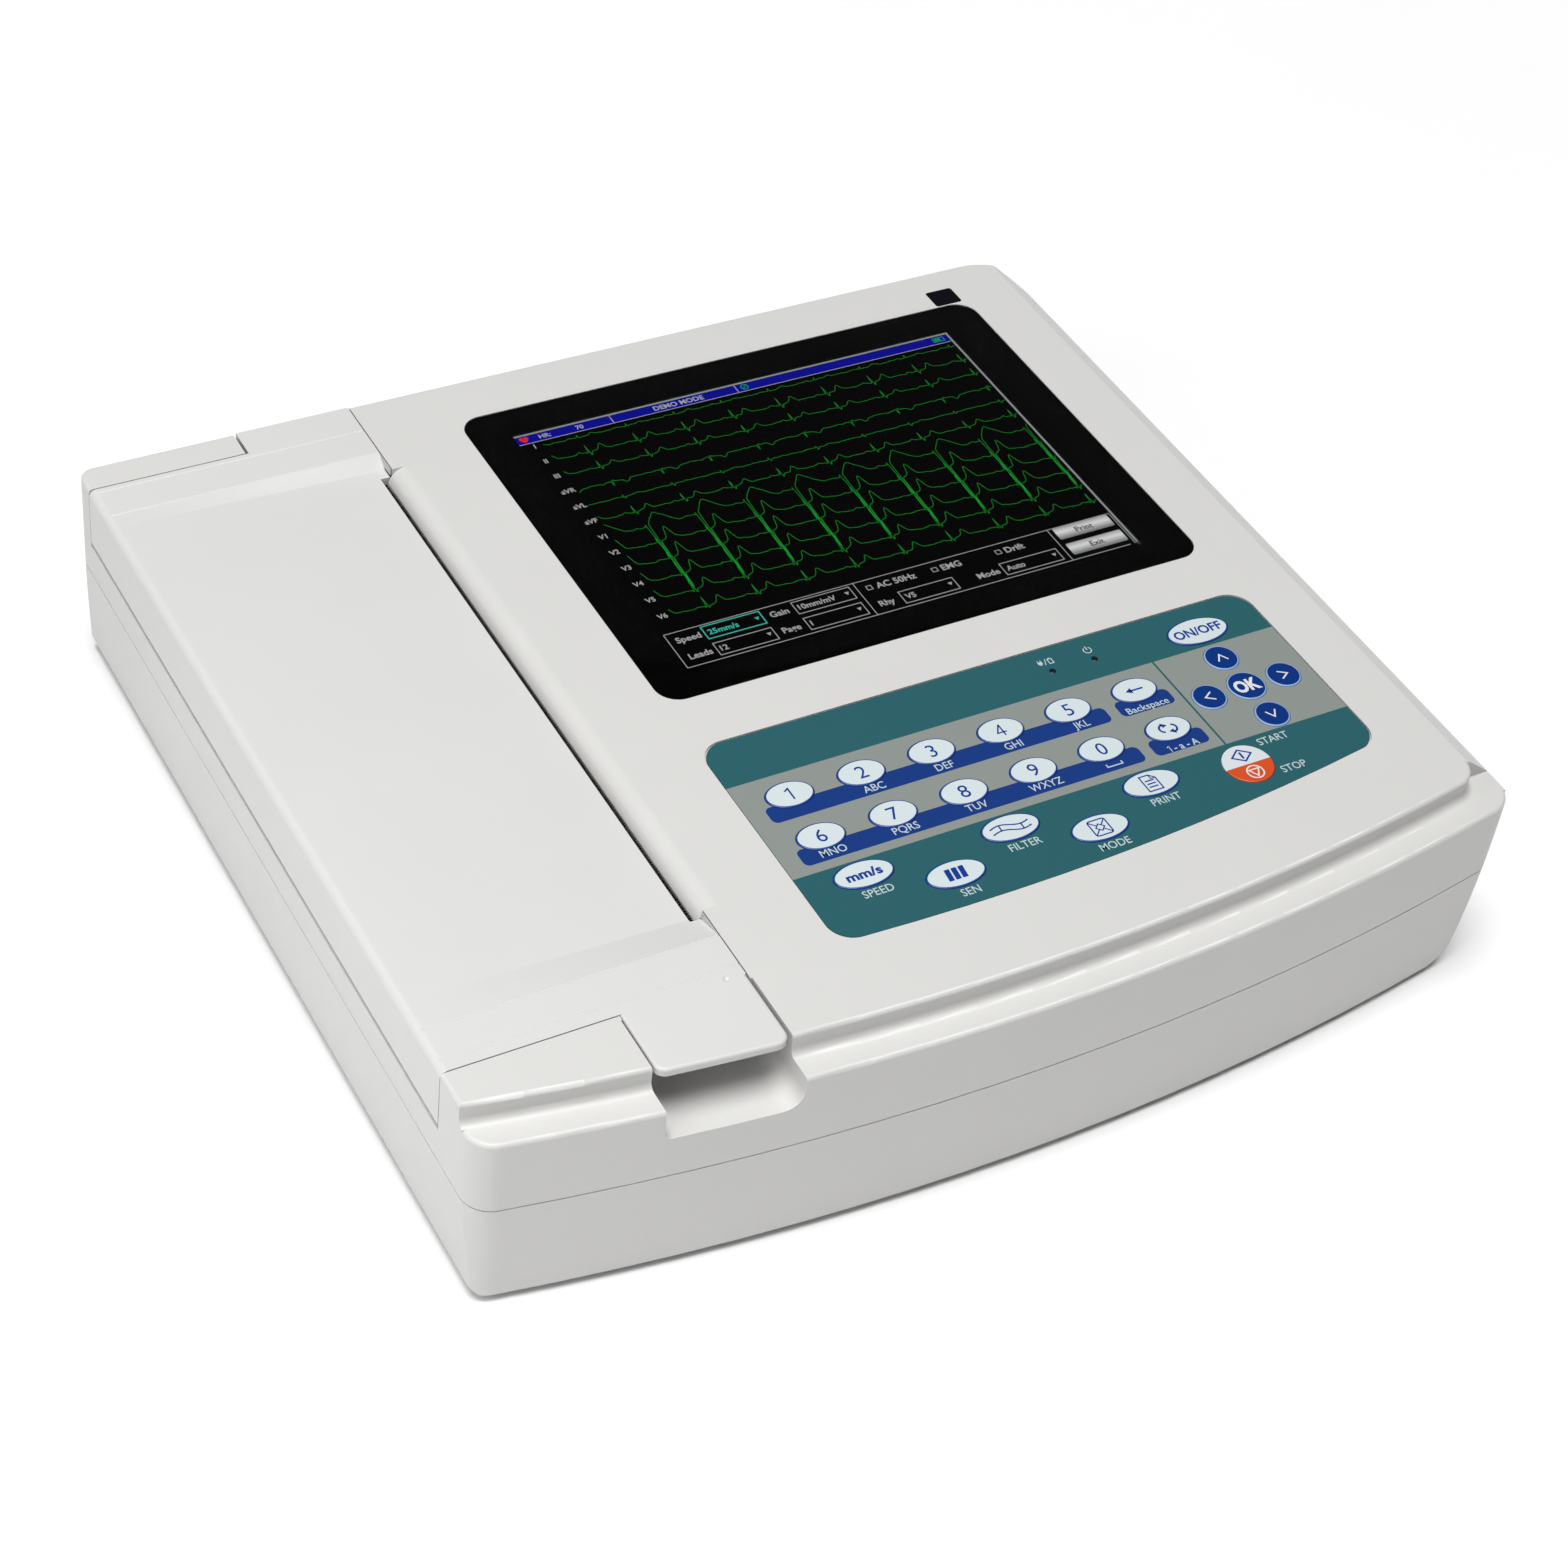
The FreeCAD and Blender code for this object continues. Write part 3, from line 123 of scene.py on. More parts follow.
# ---------------------------------------------------------------- materials
class Paint:
    """One procedural material, with short names for the nodes that it needs."""

    def __init__(self, name):
        self.material = bpy.data.materials.new(name)
        self.material.use_nodes = True
        self.tree = self.material.node_tree
        self.shader = self.tree.nodes["Principled BSDF"]
        self.place = self.tree.nodes.new("ShaderNodeTexCoord").outputs["Object"]
        self.axes = None

    def node(self, kind, **values):
        made = self.tree.nodes.new(kind)
        for key, value in values.items():
            setattr(made, key, value)
        return made

    def feed(self, socket, value):
        if isinstance(value, bpy.types.NodeSocket):
            self.tree.links.new(value, socket)
        elif isinstance(value, (tuple, list)) and len(value) == 3 and socket.type == "RGBA":
            socket.default_value = (*value, 1.0)
        else:
            socket.default_value = value

    def set(self, **values):
        """Constants and links on the shader: underscores stand for spaces."""
        for key, value in values.items():
            self.feed(self.shader.inputs[key.replace("_", " ")], value)
        return self

    def math(self, operation, a, b=0.0, c=0.0, clamp=False):
        made = self.node("ShaderNodeMath", operation=operation, use_clamp=clamp)
        for socket, value in zip(made.inputs, (a, b, c)):
            self.feed(socket, value)
        return made.outputs[0]

    def mix(self, factor, a, b):
        made = self.node("ShaderNodeMix", data_type="RGBA")
        self.feed(made.inputs[0], factor)
        self.feed(made.inputs[6], a)
        self.feed(made.inputs[7], b)
        return made.outputs[2]

    def blend(self, factor, a, b):
        """A number between a and b."""
        made = self.node("ShaderNodeMix", data_type="FLOAT")
        self.feed(made.inputs[0], factor)
        self.feed(made.inputs[2], a)
        self.feed(made.inputs[3], b)
        return made.outputs[0]

    def noise(self, size, detail=2.0, stretch=None):
        """Noise whose grain is about size millimetres across."""
        made = self.node("ShaderNodeTexNoise")
        where = self.place
        if stretch:
            mapping = self.node("ShaderNodeMapping")
            mapping.inputs["Scale"].default_value = stretch
            self.tree.links.new(where, mapping.inputs["Vector"])
            where = mapping.outputs[0]
        self.tree.links.new(where, made.inputs["Vector"])
        made.inputs["Scale"].default_value = 1.0 / (size * MM)
        made.inputs["Detail"].default_value = detail
        return made.outputs["Fac"]

    def axis(self, index):
        """A coordinate in millimetres: 0 is X, 1 is Y and 2 is Z."""
        if self.axes is None:
            scaled = self.node("ShaderNodeVectorMath", operation="SCALE")
            self.tree.links.new(self.place, scaled.inputs[0])
            scaled.inputs["Scale"].default_value = 1.0 / MM
            self.axes = self.node("ShaderNodeSeparateXYZ")
            self.tree.links.new(scaled.outputs[0], self.axes.inputs[0])
        return self.axes.outputs[index]

    def between(self, index, low, high):
        """1 where a coordinate is between two values."""
        value = self.axis(index)
        above = self.math("GREATER_THAN", value, low)
        return self.math("MULTIPLY", above, self.math("LESS_THAN", value, high))

    def region(self, spans):
        """1 inside a box given as {axis: (low, high)}."""
        mask = 1.0
        for index, (low, high) in spans.items():
            mask = self.math("MULTIPLY", mask, self.between(index, low, high))
        return mask

    def pill(self, x0, x1, y0, y1, radius):
        """1 inside a rectangle with rounded corners in plan."""
        outside = []
        for index, low, high in ((0, x0, x1), (1, y0, y1)):
            middle = (low + high) / 2
            off = self.math("ABSOLUTE", self.math("SUBTRACT", self.axis(index), middle))
            off = self.math("SUBTRACT", off, (high - low) / 2 - radius)
            outside.append(self.math("POWER", self.math("MAXIMUM", off, 0.0), 2.0))
        reach = self.math("SQRT", self.math("ADD", *outside))
        return self.math("LESS_THAN", reach, radius)

    def bump(self, height, strength, distance):
        """Relief from a height between 0 and 1, distance in millimetres."""
        made = self.node("ShaderNodeBump")
        made.inputs["Strength"].default_value = strength
        made.inputs["Distance"].default_value = distance * MM
        self.feed(made.inputs["Height"], height)
        self.tree.links.new(made.outputs[0], self.shader.inputs["Normal"])
        return self


def shade(colour, factor):
    return tuple(min(1.0, channel * factor) for channel in colour)


def moulded(name, colour, rough=0.42, grain=0.55, relief=0.12, tint=0.02, coat=0.0):
    """Moulded plastic: faint cloudiness, spark-eroded grain and uneven gloss."""
    paint = Paint(name)
    cloud = paint.noise(38.0, 3.0)
    fine = paint.noise(grain, 3.0)
    colour_map = paint.mix(cloud, shade(colour, 1.0 - tint), shade(colour, 1.0 + tint))
    colour_map = paint.mix(paint.math("MULTIPLY", fine, 0.12), colour_map, shade(colour, 0.94))
    gloss = paint.blend(paint.noise(9.0), rough - 0.05, rough + 0.06)
    paint.set(Base_Color=colour_map, Roughness=gloss, Coat_Weight=coat, Coat_Roughness=0.2)
    return paint.bump(fine, relief, 0.04).material


def metal(name, colour, rough=0.3, brushed=(1.0, 1.0, 1.0), size=0.8):
    """Machined or plated metal with fine directional marks."""
    paint = Paint(name)
    marks = paint.noise(size, 4.0, brushed)
    paint.set(Metallic=1.0, Base_Color=paint.mix(marks, shade(colour, 0.86), shade(colour, 1.08)),
              Roughness=paint.blend(marks, rough - 0.08, rough + 0.1))
    return paint.bump(marks, 0.15, 0.02).material


def rubber(name, colour, rough=0.75):
    paint = Paint(name)
    pores = paint.noise(0.35, 4.0)
    paint.set(Base_Color=paint.mix(paint.noise(6.0), shade(colour, 0.8), shade(colour, 1.25)),
              Roughness=paint.blend(pores, rough - 0.1, rough + 0.1))
    return paint.bump(pores, 0.3, 0.05).material


def ink(name, colour, rough=0.4, shine=0.5):
    """A printed colour with the slight unevenness of screen printing."""
    paint = Paint(name)
    spread = paint.noise(0.4)
    paint.set(Base_Color=paint.mix(spread, shade(colour, 0.94), shade(colour, 1.04)),
              Roughness=paint.blend(spread, rough - 0.04, rough + 0.04), Specular_IOR_Level=shine)
    return paint.material


def lit(name, colour, strength, rows=0.36):
    """Light from the display, with its faint rows of picture dots; also the painted glow on the edge of the
    panel's metal frame.
    """
    paint = Paint(name)
    steps = paint.math("PINGPONG", paint.axis(1), rows / 2)
    steps = paint.math("MULTIPLY_ADD", steps, 0.7 / rows, 0.8)
    glow = paint.mix(steps, (0.0, 0.0, 0.0), colour)
    paint.set(Base_Color=shade(colour, 0.02), Emission_Color=glow, Emission_Strength=strength,
              Roughness=0.5, Specular_IOR_Level=0.0)
    return paint.material


def zoned(name, base, zones, grain=0.6, relief=0.1):
    """A node of several materials: each look is (colour, roughness, metallic), each zone (spans, look)."""
    paint = Paint(name)
    colour, rough, metallic = base
    for spans, look in zones:
        mask = paint.region(spans)
        colour = paint.mix(mask, colour, look[0])
        rough = paint.blend(mask, rough, look[1])
        metallic = paint.blend(mask, metallic, look[2])
    fine = paint.noise(grain, 3.0)
    colour = paint.mix(paint.math("MULTIPLY", fine, 0.2), colour, (0.02, 0.02, 0.02))
    paint.set(Base_Color=colour, Roughness=rough, Metallic=metallic)
    return paint.bump(fine, relief, 0.03).material


def overlay_paint():
    """Teal keypad film with its grey field, blue label strips and embossed satin finish."""
    teal = (0.016, 0.096, 0.113)
    grey = (0.232, 0.255, 0.239)
    blue = (0.0027, 0.031, 0.184)
    line = (0.016, 0.099, 0.104)
    paint = Paint("keypad_film")
    colour = paint.mix(paint.between(1, band_low_y, band_top_y), teal, grey)
    strips = [(strip_left_x, strip_right_x, *strip_rows[0]), (strip_left_x, strip_right_x, *strip_rows[1]),
              (*short_strip_x, *strip_rows[0]), (*short_strip_x, *strip_rows[1])]
    for x0, x1, y0, y1 in strips:
        colour = paint.mix(paint.pill(x0, x1, y0, y1, strip_corner), colour, blue)
    wall = paint.region({0: (divider_x - divider_half, divider_x + divider_half),
                         1: (band_low_y, band_top_y)})
    colour = paint.mix(wall, colour, line)
    sheen = paint.noise(0.25, 2.0)
    colour = paint.mix(paint.math("MULTIPLY", sheen, 0.03), colour, (0.4, 0.42, 0.42))
    paint.set(Base_Color=colour, Roughness=paint.blend(sheen, 0.26, 0.36),
              Specular_IOR_Level=0.3)
    return paint.bump(sheen, 0.12, 0.02).material


def split_paint(name, above, below, y):
    """A key top in two colours that meet along a line across it."""
    paint = Paint(name)
    lower = paint.math("LESS_THAN", paint.axis(1), y)
    colour = paint.mix(lower, above, below)
    spread = paint.noise(0.4)
    paint.set(Base_Color=paint.mix(paint.math("MULTIPLY", spread, 0.03), colour, (0.5, 0.5, 0.5)),
              Roughness=paint.blend(spread, 0.3, 0.38))
    return paint.material


def chart_paper():
    """Thermal paper on a roll: a pale millimetre grid outside, and the edges of its turns at the ends."""
    low, high = limits("paper_roll")
    middle_x = (low.x + high.x) / 2
    middle_z = (low.z + high.z) / 2
    radius = (high.x - low.x) / 2
    paint = Paint("chart_paper")
    across = paint.math("SUBTRACT", paint.axis(0), middle_x)
    up = paint.math("SUBTRACT", paint.axis(2), middle_z)
    reach = paint.math("SQRT", paint.math("ADD", paint.math("POWER", across, 2.0),
                                          paint.math("POWER", up, 2.0)))
    angle = paint.math("ARCTAN2", up, across)
    around = paint.math("MULTIPLY", angle, radius)
    grid = 0.0
    for value, pitch, width in ((around, 5.0, 0.14), (paint.axis(1), 5.0, 0.14),
                                (around, 1.0, 0.05), (paint.axis(1), 1.0, 0.05)):
        near = paint.math("PINGPONG", value, pitch / 2)
        grid = paint.math("MAXIMUM", grid, paint.math("LESS_THAN", near, width))
    outside = paint.math("GREATER_THAN", reach, radius - 0.15)
    grid = paint.math("MULTIPLY", paint.math("MULTIPLY", grid, outside), 0.6)
    turns = paint.math("PINGPONG", reach, 0.35)
    edge = paint.math("MULTIPLY", paint.math("MULTIPLY", turns, 1.2), paint.math("SUBTRACT", 1.0, outside))
    colour = paint.mix(grid, (0.76, 0.75, 0.73), (0.75, 0.36, 0.31))
    colour = paint.mix(edge, colour, (0.55, 0.54, 0.52))
    paint.set(Base_Color=colour, Roughness=paint.blend(paint.noise(0.3), 0.5, 0.62))
    return paint.bump(paint.noise(0.2), 0.1, 0.02).material


def clear_glass():
    paint = Paint("display_glass_clear")
    smudge = paint.noise(26.0, 3.0)
    paint.set(Base_Color=(0.97, 0.98, 0.98), Transmission_Weight=1.0, IOR=1.5,
              Roughness=paint.blend(smudge, 0.0, 0.03))
    return paint.material


# ---------------------------------------------------------------- mesh makers
def piece(name, mesh, material, body, replaces=()):
    """Finishes a mesh as a named piece that rides on a body."""
    made = bpy.data.objects.new(name, mesh)
    bpy.context.scene.collection.objects.link(made)
    for one in material if isinstance(material, (list, tuple)) else (material,):
        mesh.materials.append(one)
    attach(made, body)
    if replaces:
        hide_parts(*replaces)
    return made


def finish_mesh(name, bm, smooth=None):
    """Turns a bmesh in millimetres into a mesh in metres."""
    bmesh.ops.recalc_face_normals(bm, faces=bm.faces)
    bmesh.ops.scale(bm, vec=(MM, MM, MM), verts=bm.verts)
    mesh = bpy.data.meshes.new(name)
    bm.to_mesh(mesh)
    bm.free()
    if smooth is not None:
        mesh.shade_smooth()
        mesh.set_sharp_from_angle(angle=math.radians(smooth))
    return mesh


def lathe_rings(bm, rings):
    """Joins rings of (x, y, z) points, caps both ends and returns the faces of each band."""
    loops = [[bm.verts.new(point) for point in ring] for ring in rings]
    bands = []
    for low, high in zip(loops, loops[1:]):
        count = len(low)
        bands.append([bm.faces.new((low[i], low[(i + 1) % count], high[(i + 1) % count], high[i]))
                      for i in range(count)])
    bands.append([bm.faces.new(list(reversed(loops[0]))), bm.faces.new(loops[-1])])
    return bands


def rounded_outline(x0, x1, y0, y1, radius, steps=10):
    """Points round a rectangle with rounded corners, anticlockwise."""
    points = []
    centres = ((x1 - radius, y1 - radius, 0), (x0 + radius, y1 - radius, 90),
               (x0 + radius, y0 + radius, 180), (x1 - radius, y0 + radius, 270))
    for x, y, start in centres:
        for step in range(steps + 1):
            angle = math.radians(start + 90.0 * step / steps)
            points.append((x + radius * math.cos(angle), y + radius * math.sin(angle)))
    return points


def ellipse_outline(x, y, a, b, steps=72):
    angles = [2 * math.pi * step / steps for step in range(steps)]
    return [(x + a * math.cos(t), y + b * math.sin(t)) for t in angles]


_glyphs = {}


def glyphs(text, bold=0.0):
    """Outline faces of a text, scaled so that a capital is 1 high: points, faces and width."""
    key = (text, bold)
    if key not in _glyphs:
        curve = bpy.data.curves.new("lettering", "FONT")
        curve.body = text
        curve.offset = bold
        curve.resolution_u = 3
        holder = bpy.data.objects.new("lettering", curve)
        bpy.context.scene.collection.objects.link(holder)
        mesh = bpy.data.meshes.new_from_object(holder.evaluated_get(bpy.context.evaluated_depsgraph_get()))
        points = [tuple(vertex.co) for vertex in mesh.vertices]
        faces = [tuple(face.vertices) for face in mesh.polygons]
        bpy.data.objects.remove(holder)
        bpy.data.curves.remove(curve)
        bpy.data.meshes.remove(mesh)
        _glyphs[key] = (points, faces)
    return _glyphs[key]


class Ink:
    """Flat printed shapes, gathered into one thin closed mesh."""

    def __init__(self):
        self.bm = bmesh.new()
        _, top = self.span(glyphs("H")[0], 1)
        self.capital = top

    @staticmethod
    def span(points, index):
        values = [point[index] for point in points]
        return min(values), max(values)

    def area(self, points):
        self.bm.faces.new([self.bm.verts.new((x, y, 0.0)) for x, y in points])
        return self

    def box(self, x0, x1, y0, y1):
        return self.area([(x0, y0), (x1, y0), (x1, y1), (x0, y1)])

    def strip(self, left, right, closed=False):
        """Quads between two rows of points."""
        first = [self.bm.verts.new((x, y, 0.0)) for x, y in left]
        second = [self.bm.verts.new((x, y, 0.0)) for x, y in right]
        count = len(first) if closed else len(first) - 1
        for i in range(count):
            j = (i + 1) % len(first)
            self.bm.faces.new((first[i], second[i], second[j], first[j]))
        return self

    def line(self, points, width, closed=False):
        """A stroke of even width through the points."""
        left, right = [], []
        count = len(points)
        for i, (x, y) in enumerate(points):
            before = points[i - 1] if i or closed else points[i]
            after = points[(i + 1) % count] if i < count - 1 or closed else points[i]
            ways = [Vector((x - before[0], y - before[1])), Vector((after[0] - x, after[1] - y))]
            ways = [way.normalized() for way in ways if way.length > 1e-9]
            along = (ways[0] + ways[-1]).normalized() if (ways[0] + ways[-1]).length > 0.1 else ways[0]
            reach = width / 2 / max(0.45, along.dot(ways[0]))
            left.append((x - along.y * reach, y + along.x * reach))
            right.append((x + along.y * reach, y - along.x * reach))
        return self.strip(left, right, closed)

    def frame(self, x0, x1, y0, y1, width):
        return self.line([(x0, y0), (x1, y0), (x1, y1), (x0, y1)], width, True)

    def ring(self, x, y, radius, width, steps=40):
        outer = ellipse_outline(x, y, radius + width / 2, radius + width / 2, steps)
        inner = ellipse_outline(x, y, radius - width / 2, radius - width / 2, steps)
        return self.strip(inner, outer, True)

    def text(self, words, x, y, capital, bold=0.0, wide=1.0, centred=True):
        """Lettering with its baseline half a capital below y."""
        points, faces = glyphs(words, bold)
        scale = capital / self.capital
        low, high = self.span(points, 0)
        shift = -(low + high) / 2 if centred else -low
        made = [self.bm.verts.new((x + (px + shift) * scale * wide, y + py * scale - capital / 2, 0.0))
                for px, py, _ in points]
        for face in faces:
            self.bm.faces.new([made[i] for i in face])
        return self

    def build(self, name, z, thick, material, body, slot):
        bm = self.bm
        bmesh.ops.remove_doubles(bm, verts=bm.verts, dist=0.0005)
        for vertex in bm.verts:
            vertex.co.z = z
        grown = bmesh.ops.extrude_face_region(bm, geom=bm.faces[:])
        for item in grown["geom"]:
            if isinstance(item, bmesh.types.BMVert):
                item.co.z = z + thick
        return piece(name, finish_mesh(name, bm), material, body)


# ---------------------------------------------------------------- keypad
def key_cap(node, top_paint, rim_paint, rim=outline_width):
    """A key top with a rolled shoulder, a printed rim and the flange that holds it under the deck."""
    low, high = limits(node)
    x = (low.x + high.x) / 2
    y = (low.y + high.y) / 2
    a = (high.x - low.x) / 2 - flange
    b = (high.y - low.y) / 2 - flange
    top = high.z - legend_thick
    profile = [(-flange, low.z), (-flange, low.z + 1.0), (0.0, low.z + 1.0), (0.0, top - 0.28),
               (0.05, top - 0.15), (0.14, top - 0.06), (0.26, top - 0.015), (0.4, top), (rim, top),
               (rim + 0.02, top)]
    bm = bmesh.new()
    rings = [[(px, py, z) for px, py in ellipse_outline(x, y, a - inset, b - inset)]
             for inset, z in profile]
    bands = lathe_rings(bm, rings)
    for band in bands[2:8]:
        for face in band:
            face.material_index = 1
    return piece(node + "_cap", finish_mesh(node + "_cap", bm, 50), [top_paint, rim_paint], node,
                 replaces=(node,))


def legend_top(node):
    """Centre of a key and the height that its legend starts at."""
    low, high = limits(node)
    return (low.x + high.x) / 2, (low.y + high.y) / 2, high.z - legend_thick


def arc(x, y, radius, start, stop, steps=14):
    angles = [math.radians(start + (stop - start) * step / steps) for step in range(steps + 1)]
    return [(x + radius * math.cos(t), y + radius * math.sin(t)) for t in angles]


def draw_one(art, x, y, size=1.0):
    art.line([(x - 1.0 * size, y + 1.3 * size), (x + 0.45 * size, y + 2.2 * size)], 0.5 * size)
    art.box(x + 0.15 * size, x + 0.7 * size, y - 2.45 * size, y + 2.45 * size)


def draw_four(art, x, y):
    art.line([(x + 1.6, y - 0.95), (x - 1.5, y - 0.95), (x + 0.45, y + 2.3)], 0.48)
    art.box(x + 0.25, x + 0.73, y - 2.45, y + 2.45)


def draw_backspace(art, x, y):
    art.line([(x - 1.6, y), (x + 3.0, y)], bold_stroke)
    art.area([(x - 3.1, y), (x - 1.0, y - 1.25), (x - 1.0, y + 1.25)])


def draw_shift(art, x, y):
    for side in (1, -1):
        art.line([(x + side * px, y + side * py) for px, py in arc(-1.2, 0.3, 1.6, 255, 85)], 0.68)
        art.area([(x + side * px, y + side * py) for px, py in ((-1.6, 2.8), (-1.3, 0.7), (0.4, 1.3))])


def draw_gain(art, x, y):
    for step in (-1, 0, 1):
        left = x + step * 2.25
        art.area([(left - 1.1, y - 2.3), (left + 0.6, y - 2.3), (left + 1.1, y + 2.3), (left - 0.6, y + 2.3)])


def draw_filter(art, x, y):
    def wave(across):
        return 0.75 * math.cos((across + 3.0) * 0.49)

    places = [0.4 * step - 6.4 for step in range(33)]
    for lift in (1.1, -1.1):
        art.line([(x + across, y + lift + wave(across)) for across in places], icon_stroke)
    for across in (-3.1, 3.6):
        art.line([(x + across, y + wave(across) - 1.1), (x + across, y + wave(across) + 1.1)], icon_stroke)


def draw_mode(art, x, y):
    art.line(rounded_outline(x - 2.9, x + 2.9, y - 3.1, y + 3.1, 0.8, 4), icon_stroke, True)
    art.line([(x - 1.5, y), (x, y + 1.4), (x + 1.5, y), (x, y - 1.4)], fine_stroke, True)
    for side in (1, -1):
        for end in (1, -1):
            art.line([(x + 0.8 * side, y + 0.8 * end), (x + 2.7 * side, y + 2.7 * end)], fine_stroke)


def draw_print(art, x, y):
    art.line([(x - 2.4, y - 3.2), (x + 2.4, y - 3.2), (x + 2.4, y + 1.6), (x + 0.8, y + 3.2),
              (x - 2.4, y + 3.2)], icon_stroke, True)
    art.line([(x + 0.8, y + 3.1), (x + 0.8, y + 1.6), (x + 2.3, y + 1.6)], 0.35)
    for step in range(3):
        art.line([(x - 1.5, y + 1.0 - 1.3 * step), (x + 1.5, y + 1.0 - 1.3 * step)], 0.5)


def draw_chevron(across, along):
    def draw(art, x, y):
        side = 1.75
        back = 1.4
        tip = (x + across * back, y + along * back)
        ends = [(x - across * back + turn * along * side, y - along * back + turn * across * side)
                for turn in (-1, 1)]
        art.line([ends[0], tip, ends[1]], 0.5)
    return draw


def make_keys(paints):
    """Every key cap with its legend."""
    blue = paints["legend_blue"]
    white = paints["legend_white"]
    drawings = {"1": draw_one, "4": draw_four,
                "backspace": draw_backspace, "shift": draw_shift, "gain": draw_gain,
                "filter": draw_filter, "mode": draw_mode, "print": draw_print,
                "up": draw_chevron(0, 1), "down": draw_chevron(0, -1),
                "left": draw_chevron(-1, 0), "right": draw_chevron(1, 0)}
    # text, height of its capitals, boldness and width
    words = {"speed": ("mm/s", 3.1, 0.035, 1.15),
             "power": ("ON/OFF", 3.4, 0.024, 0.95),
             "ok": ("OK", 4.7, 0.04, 0.8)}
    for node in sorted(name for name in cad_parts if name.startswith("key_")):
        kind = node[4:]
        dark = kind in ("ok", "up", "down", "left", "right")
        slot = "key_blue" if dark else "key_white"
        if kind == "start_stop":
            continue
        key_cap(node, paints["key_blue"] if dark else paints["key_white"],
                paints["key_rim_light"] if dark else paints["key_rim"])
        x, y, z = legend_top(node)
        art = Ink()
        if kind in drawings:
            drawings[kind](art, x, y)
        elif kind in words:
            text, capital, bold, wide = words[kind]
            art.text(text, x, y, capital, bold, wide)
        else:
            art.text(kind, x, y, digit_cap)
        art.build(node + "_legend", z, legend_thick, white if dark else blue, node, slot)
    make_start_key(paints)


def make_start_key(paints):
    """The round start and stop key: a diamond on white above, a ringed triangle on orange below."""
    node = "key_start_stop"
    x, y, z = legend_top(node)
    two = split_paint("start_stop_print", (0.612, 0.648, 0.675), (0.594, 0.065, 0.0072), y - 0.3)
    key_cap(node, two, two)
    art = Ink()
    upper = y + start_sign_y
    art.line([(x - 3.4, upper), (x, upper - 2.5), (x + 3.4, upper), (x, upper + 2.5)], 0.55, True)
    art.line([(x, upper - 1.4), (x, upper + 1.4)], 0.7)
    art.build(node + "_start", z, legend_thick, paints["legend_blue"], node, "key_orange")
    art = Ink()
    lower = y + stop_sign_y
    art.ring(x, lower, 2.6, 0.5)
    art.line([(x - 1.7, lower + 1.1), (x + 1.7, lower + 1.1), (x, lower - 1.8)], 0.45, True)
    art.build(node + "_stop", z, legend_thick, paints["legend_white"], node, "key_orange")


def make_labels(paints):
    """White lettering printed on the keypad film."""
    _, high = limits("keypad_overlay")
    z = high.z + print_lift
    art = Ink()
    centre = {node: legend_top(node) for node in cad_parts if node.startswith("key_")}
    upper, lower = label_y
    for text, node, y in (("ABC", "key_2", upper), ("DEF", "key_3", upper), ("GHI", "key_4", upper),
                          ("JKL", "key_5", upper), ("MNO", "key_6", lower), ("PQRS", "key_7", lower),
                          ("TUV", "key_8", lower), ("WXYZ", "key_9", lower)):
        art.text(text, centre[node][0] + 0.5, y, label_cap, label_bold, label_wide)
    x = centre["key_0"][0] + 0.3
    art.line([(x - 2.6, lower + 0.3), (x - 2.6, lower - 0.9),
              (x + 2.6, lower - 0.9), (x + 2.6, lower + 0.3)], 0.45)
    x = sum(short_strip_x) / 2
    art.text("Backspace", x, upper - 0.7, 2.5, 0.01)
    draw_one(art, x - 4.5, lower - 1.2, 0.53)
    art.text("- a - A", x + 1.4, lower - 1.2, 2.6, 0.015, 0.9)
    for text, node in (("SPEED", "key_speed"), ("SEN", "key_gain"), ("FILTER", "key_filter"),
                       ("MODE", "key_mode"), ("PRINT", "key_print")):
        art.text(text, centre[node][0] + 0.6, centre[node][1] - label_drop, label_cap, label_bold, label_wide)
    x, y, _ = centre["key_start_stop"]
    art.text("START", x + 13.6, y + 6.7, label_cap, label_bold, label_wide)
    art.text("STOP", x + 12.5, y - 6.0, label_cap, label_bold, label_wide)
    # signs over the two lamps: mains and battery, and power
    x, y = lamp_spots()[0]
    art.area([(x - 2.6, y + 4.9), (x - 1.0, y + 4.9), (x - 1.0, y + 4.0),
              (x - 1.8, y + 3.2), (x - 2.6, y + 4.0)])
    for side in (-2.3, -1.3):
        art.line([(x + side, y + 4.9), (x + side, y + 5.6)], 0.3)
    art.line([(x - 0.5, y + 3.1), (x + 0.5, y + 5.6)], 0.3)
    art.frame(x + 1.1, x + 2.5, y + 3.2, y + 5.2, 0.35)
    art.line([(x + 1.5, y + 5.5), (x + 2.1, y + 5.5)], 0.4)
    x, y = lamp_spots()[1]
    art.line(arc(x, y + 4.2, 1.3, 125, 415), 0.35)
    art.line([(x, y + 4.3), (x, y + 6.0)], 0.35)
    art.build("keypad_labels", z, print_thick, paints["label_white"], "case", "overlay_teal")


def lamp_spots():
    """Centres of the two lamp windows in the keypad film, from the keys beside them."""
    x0, y0, _ = legend_top("key_5")
    return [(x0 + across, y0 + up) for across, up in lamp_from_key]


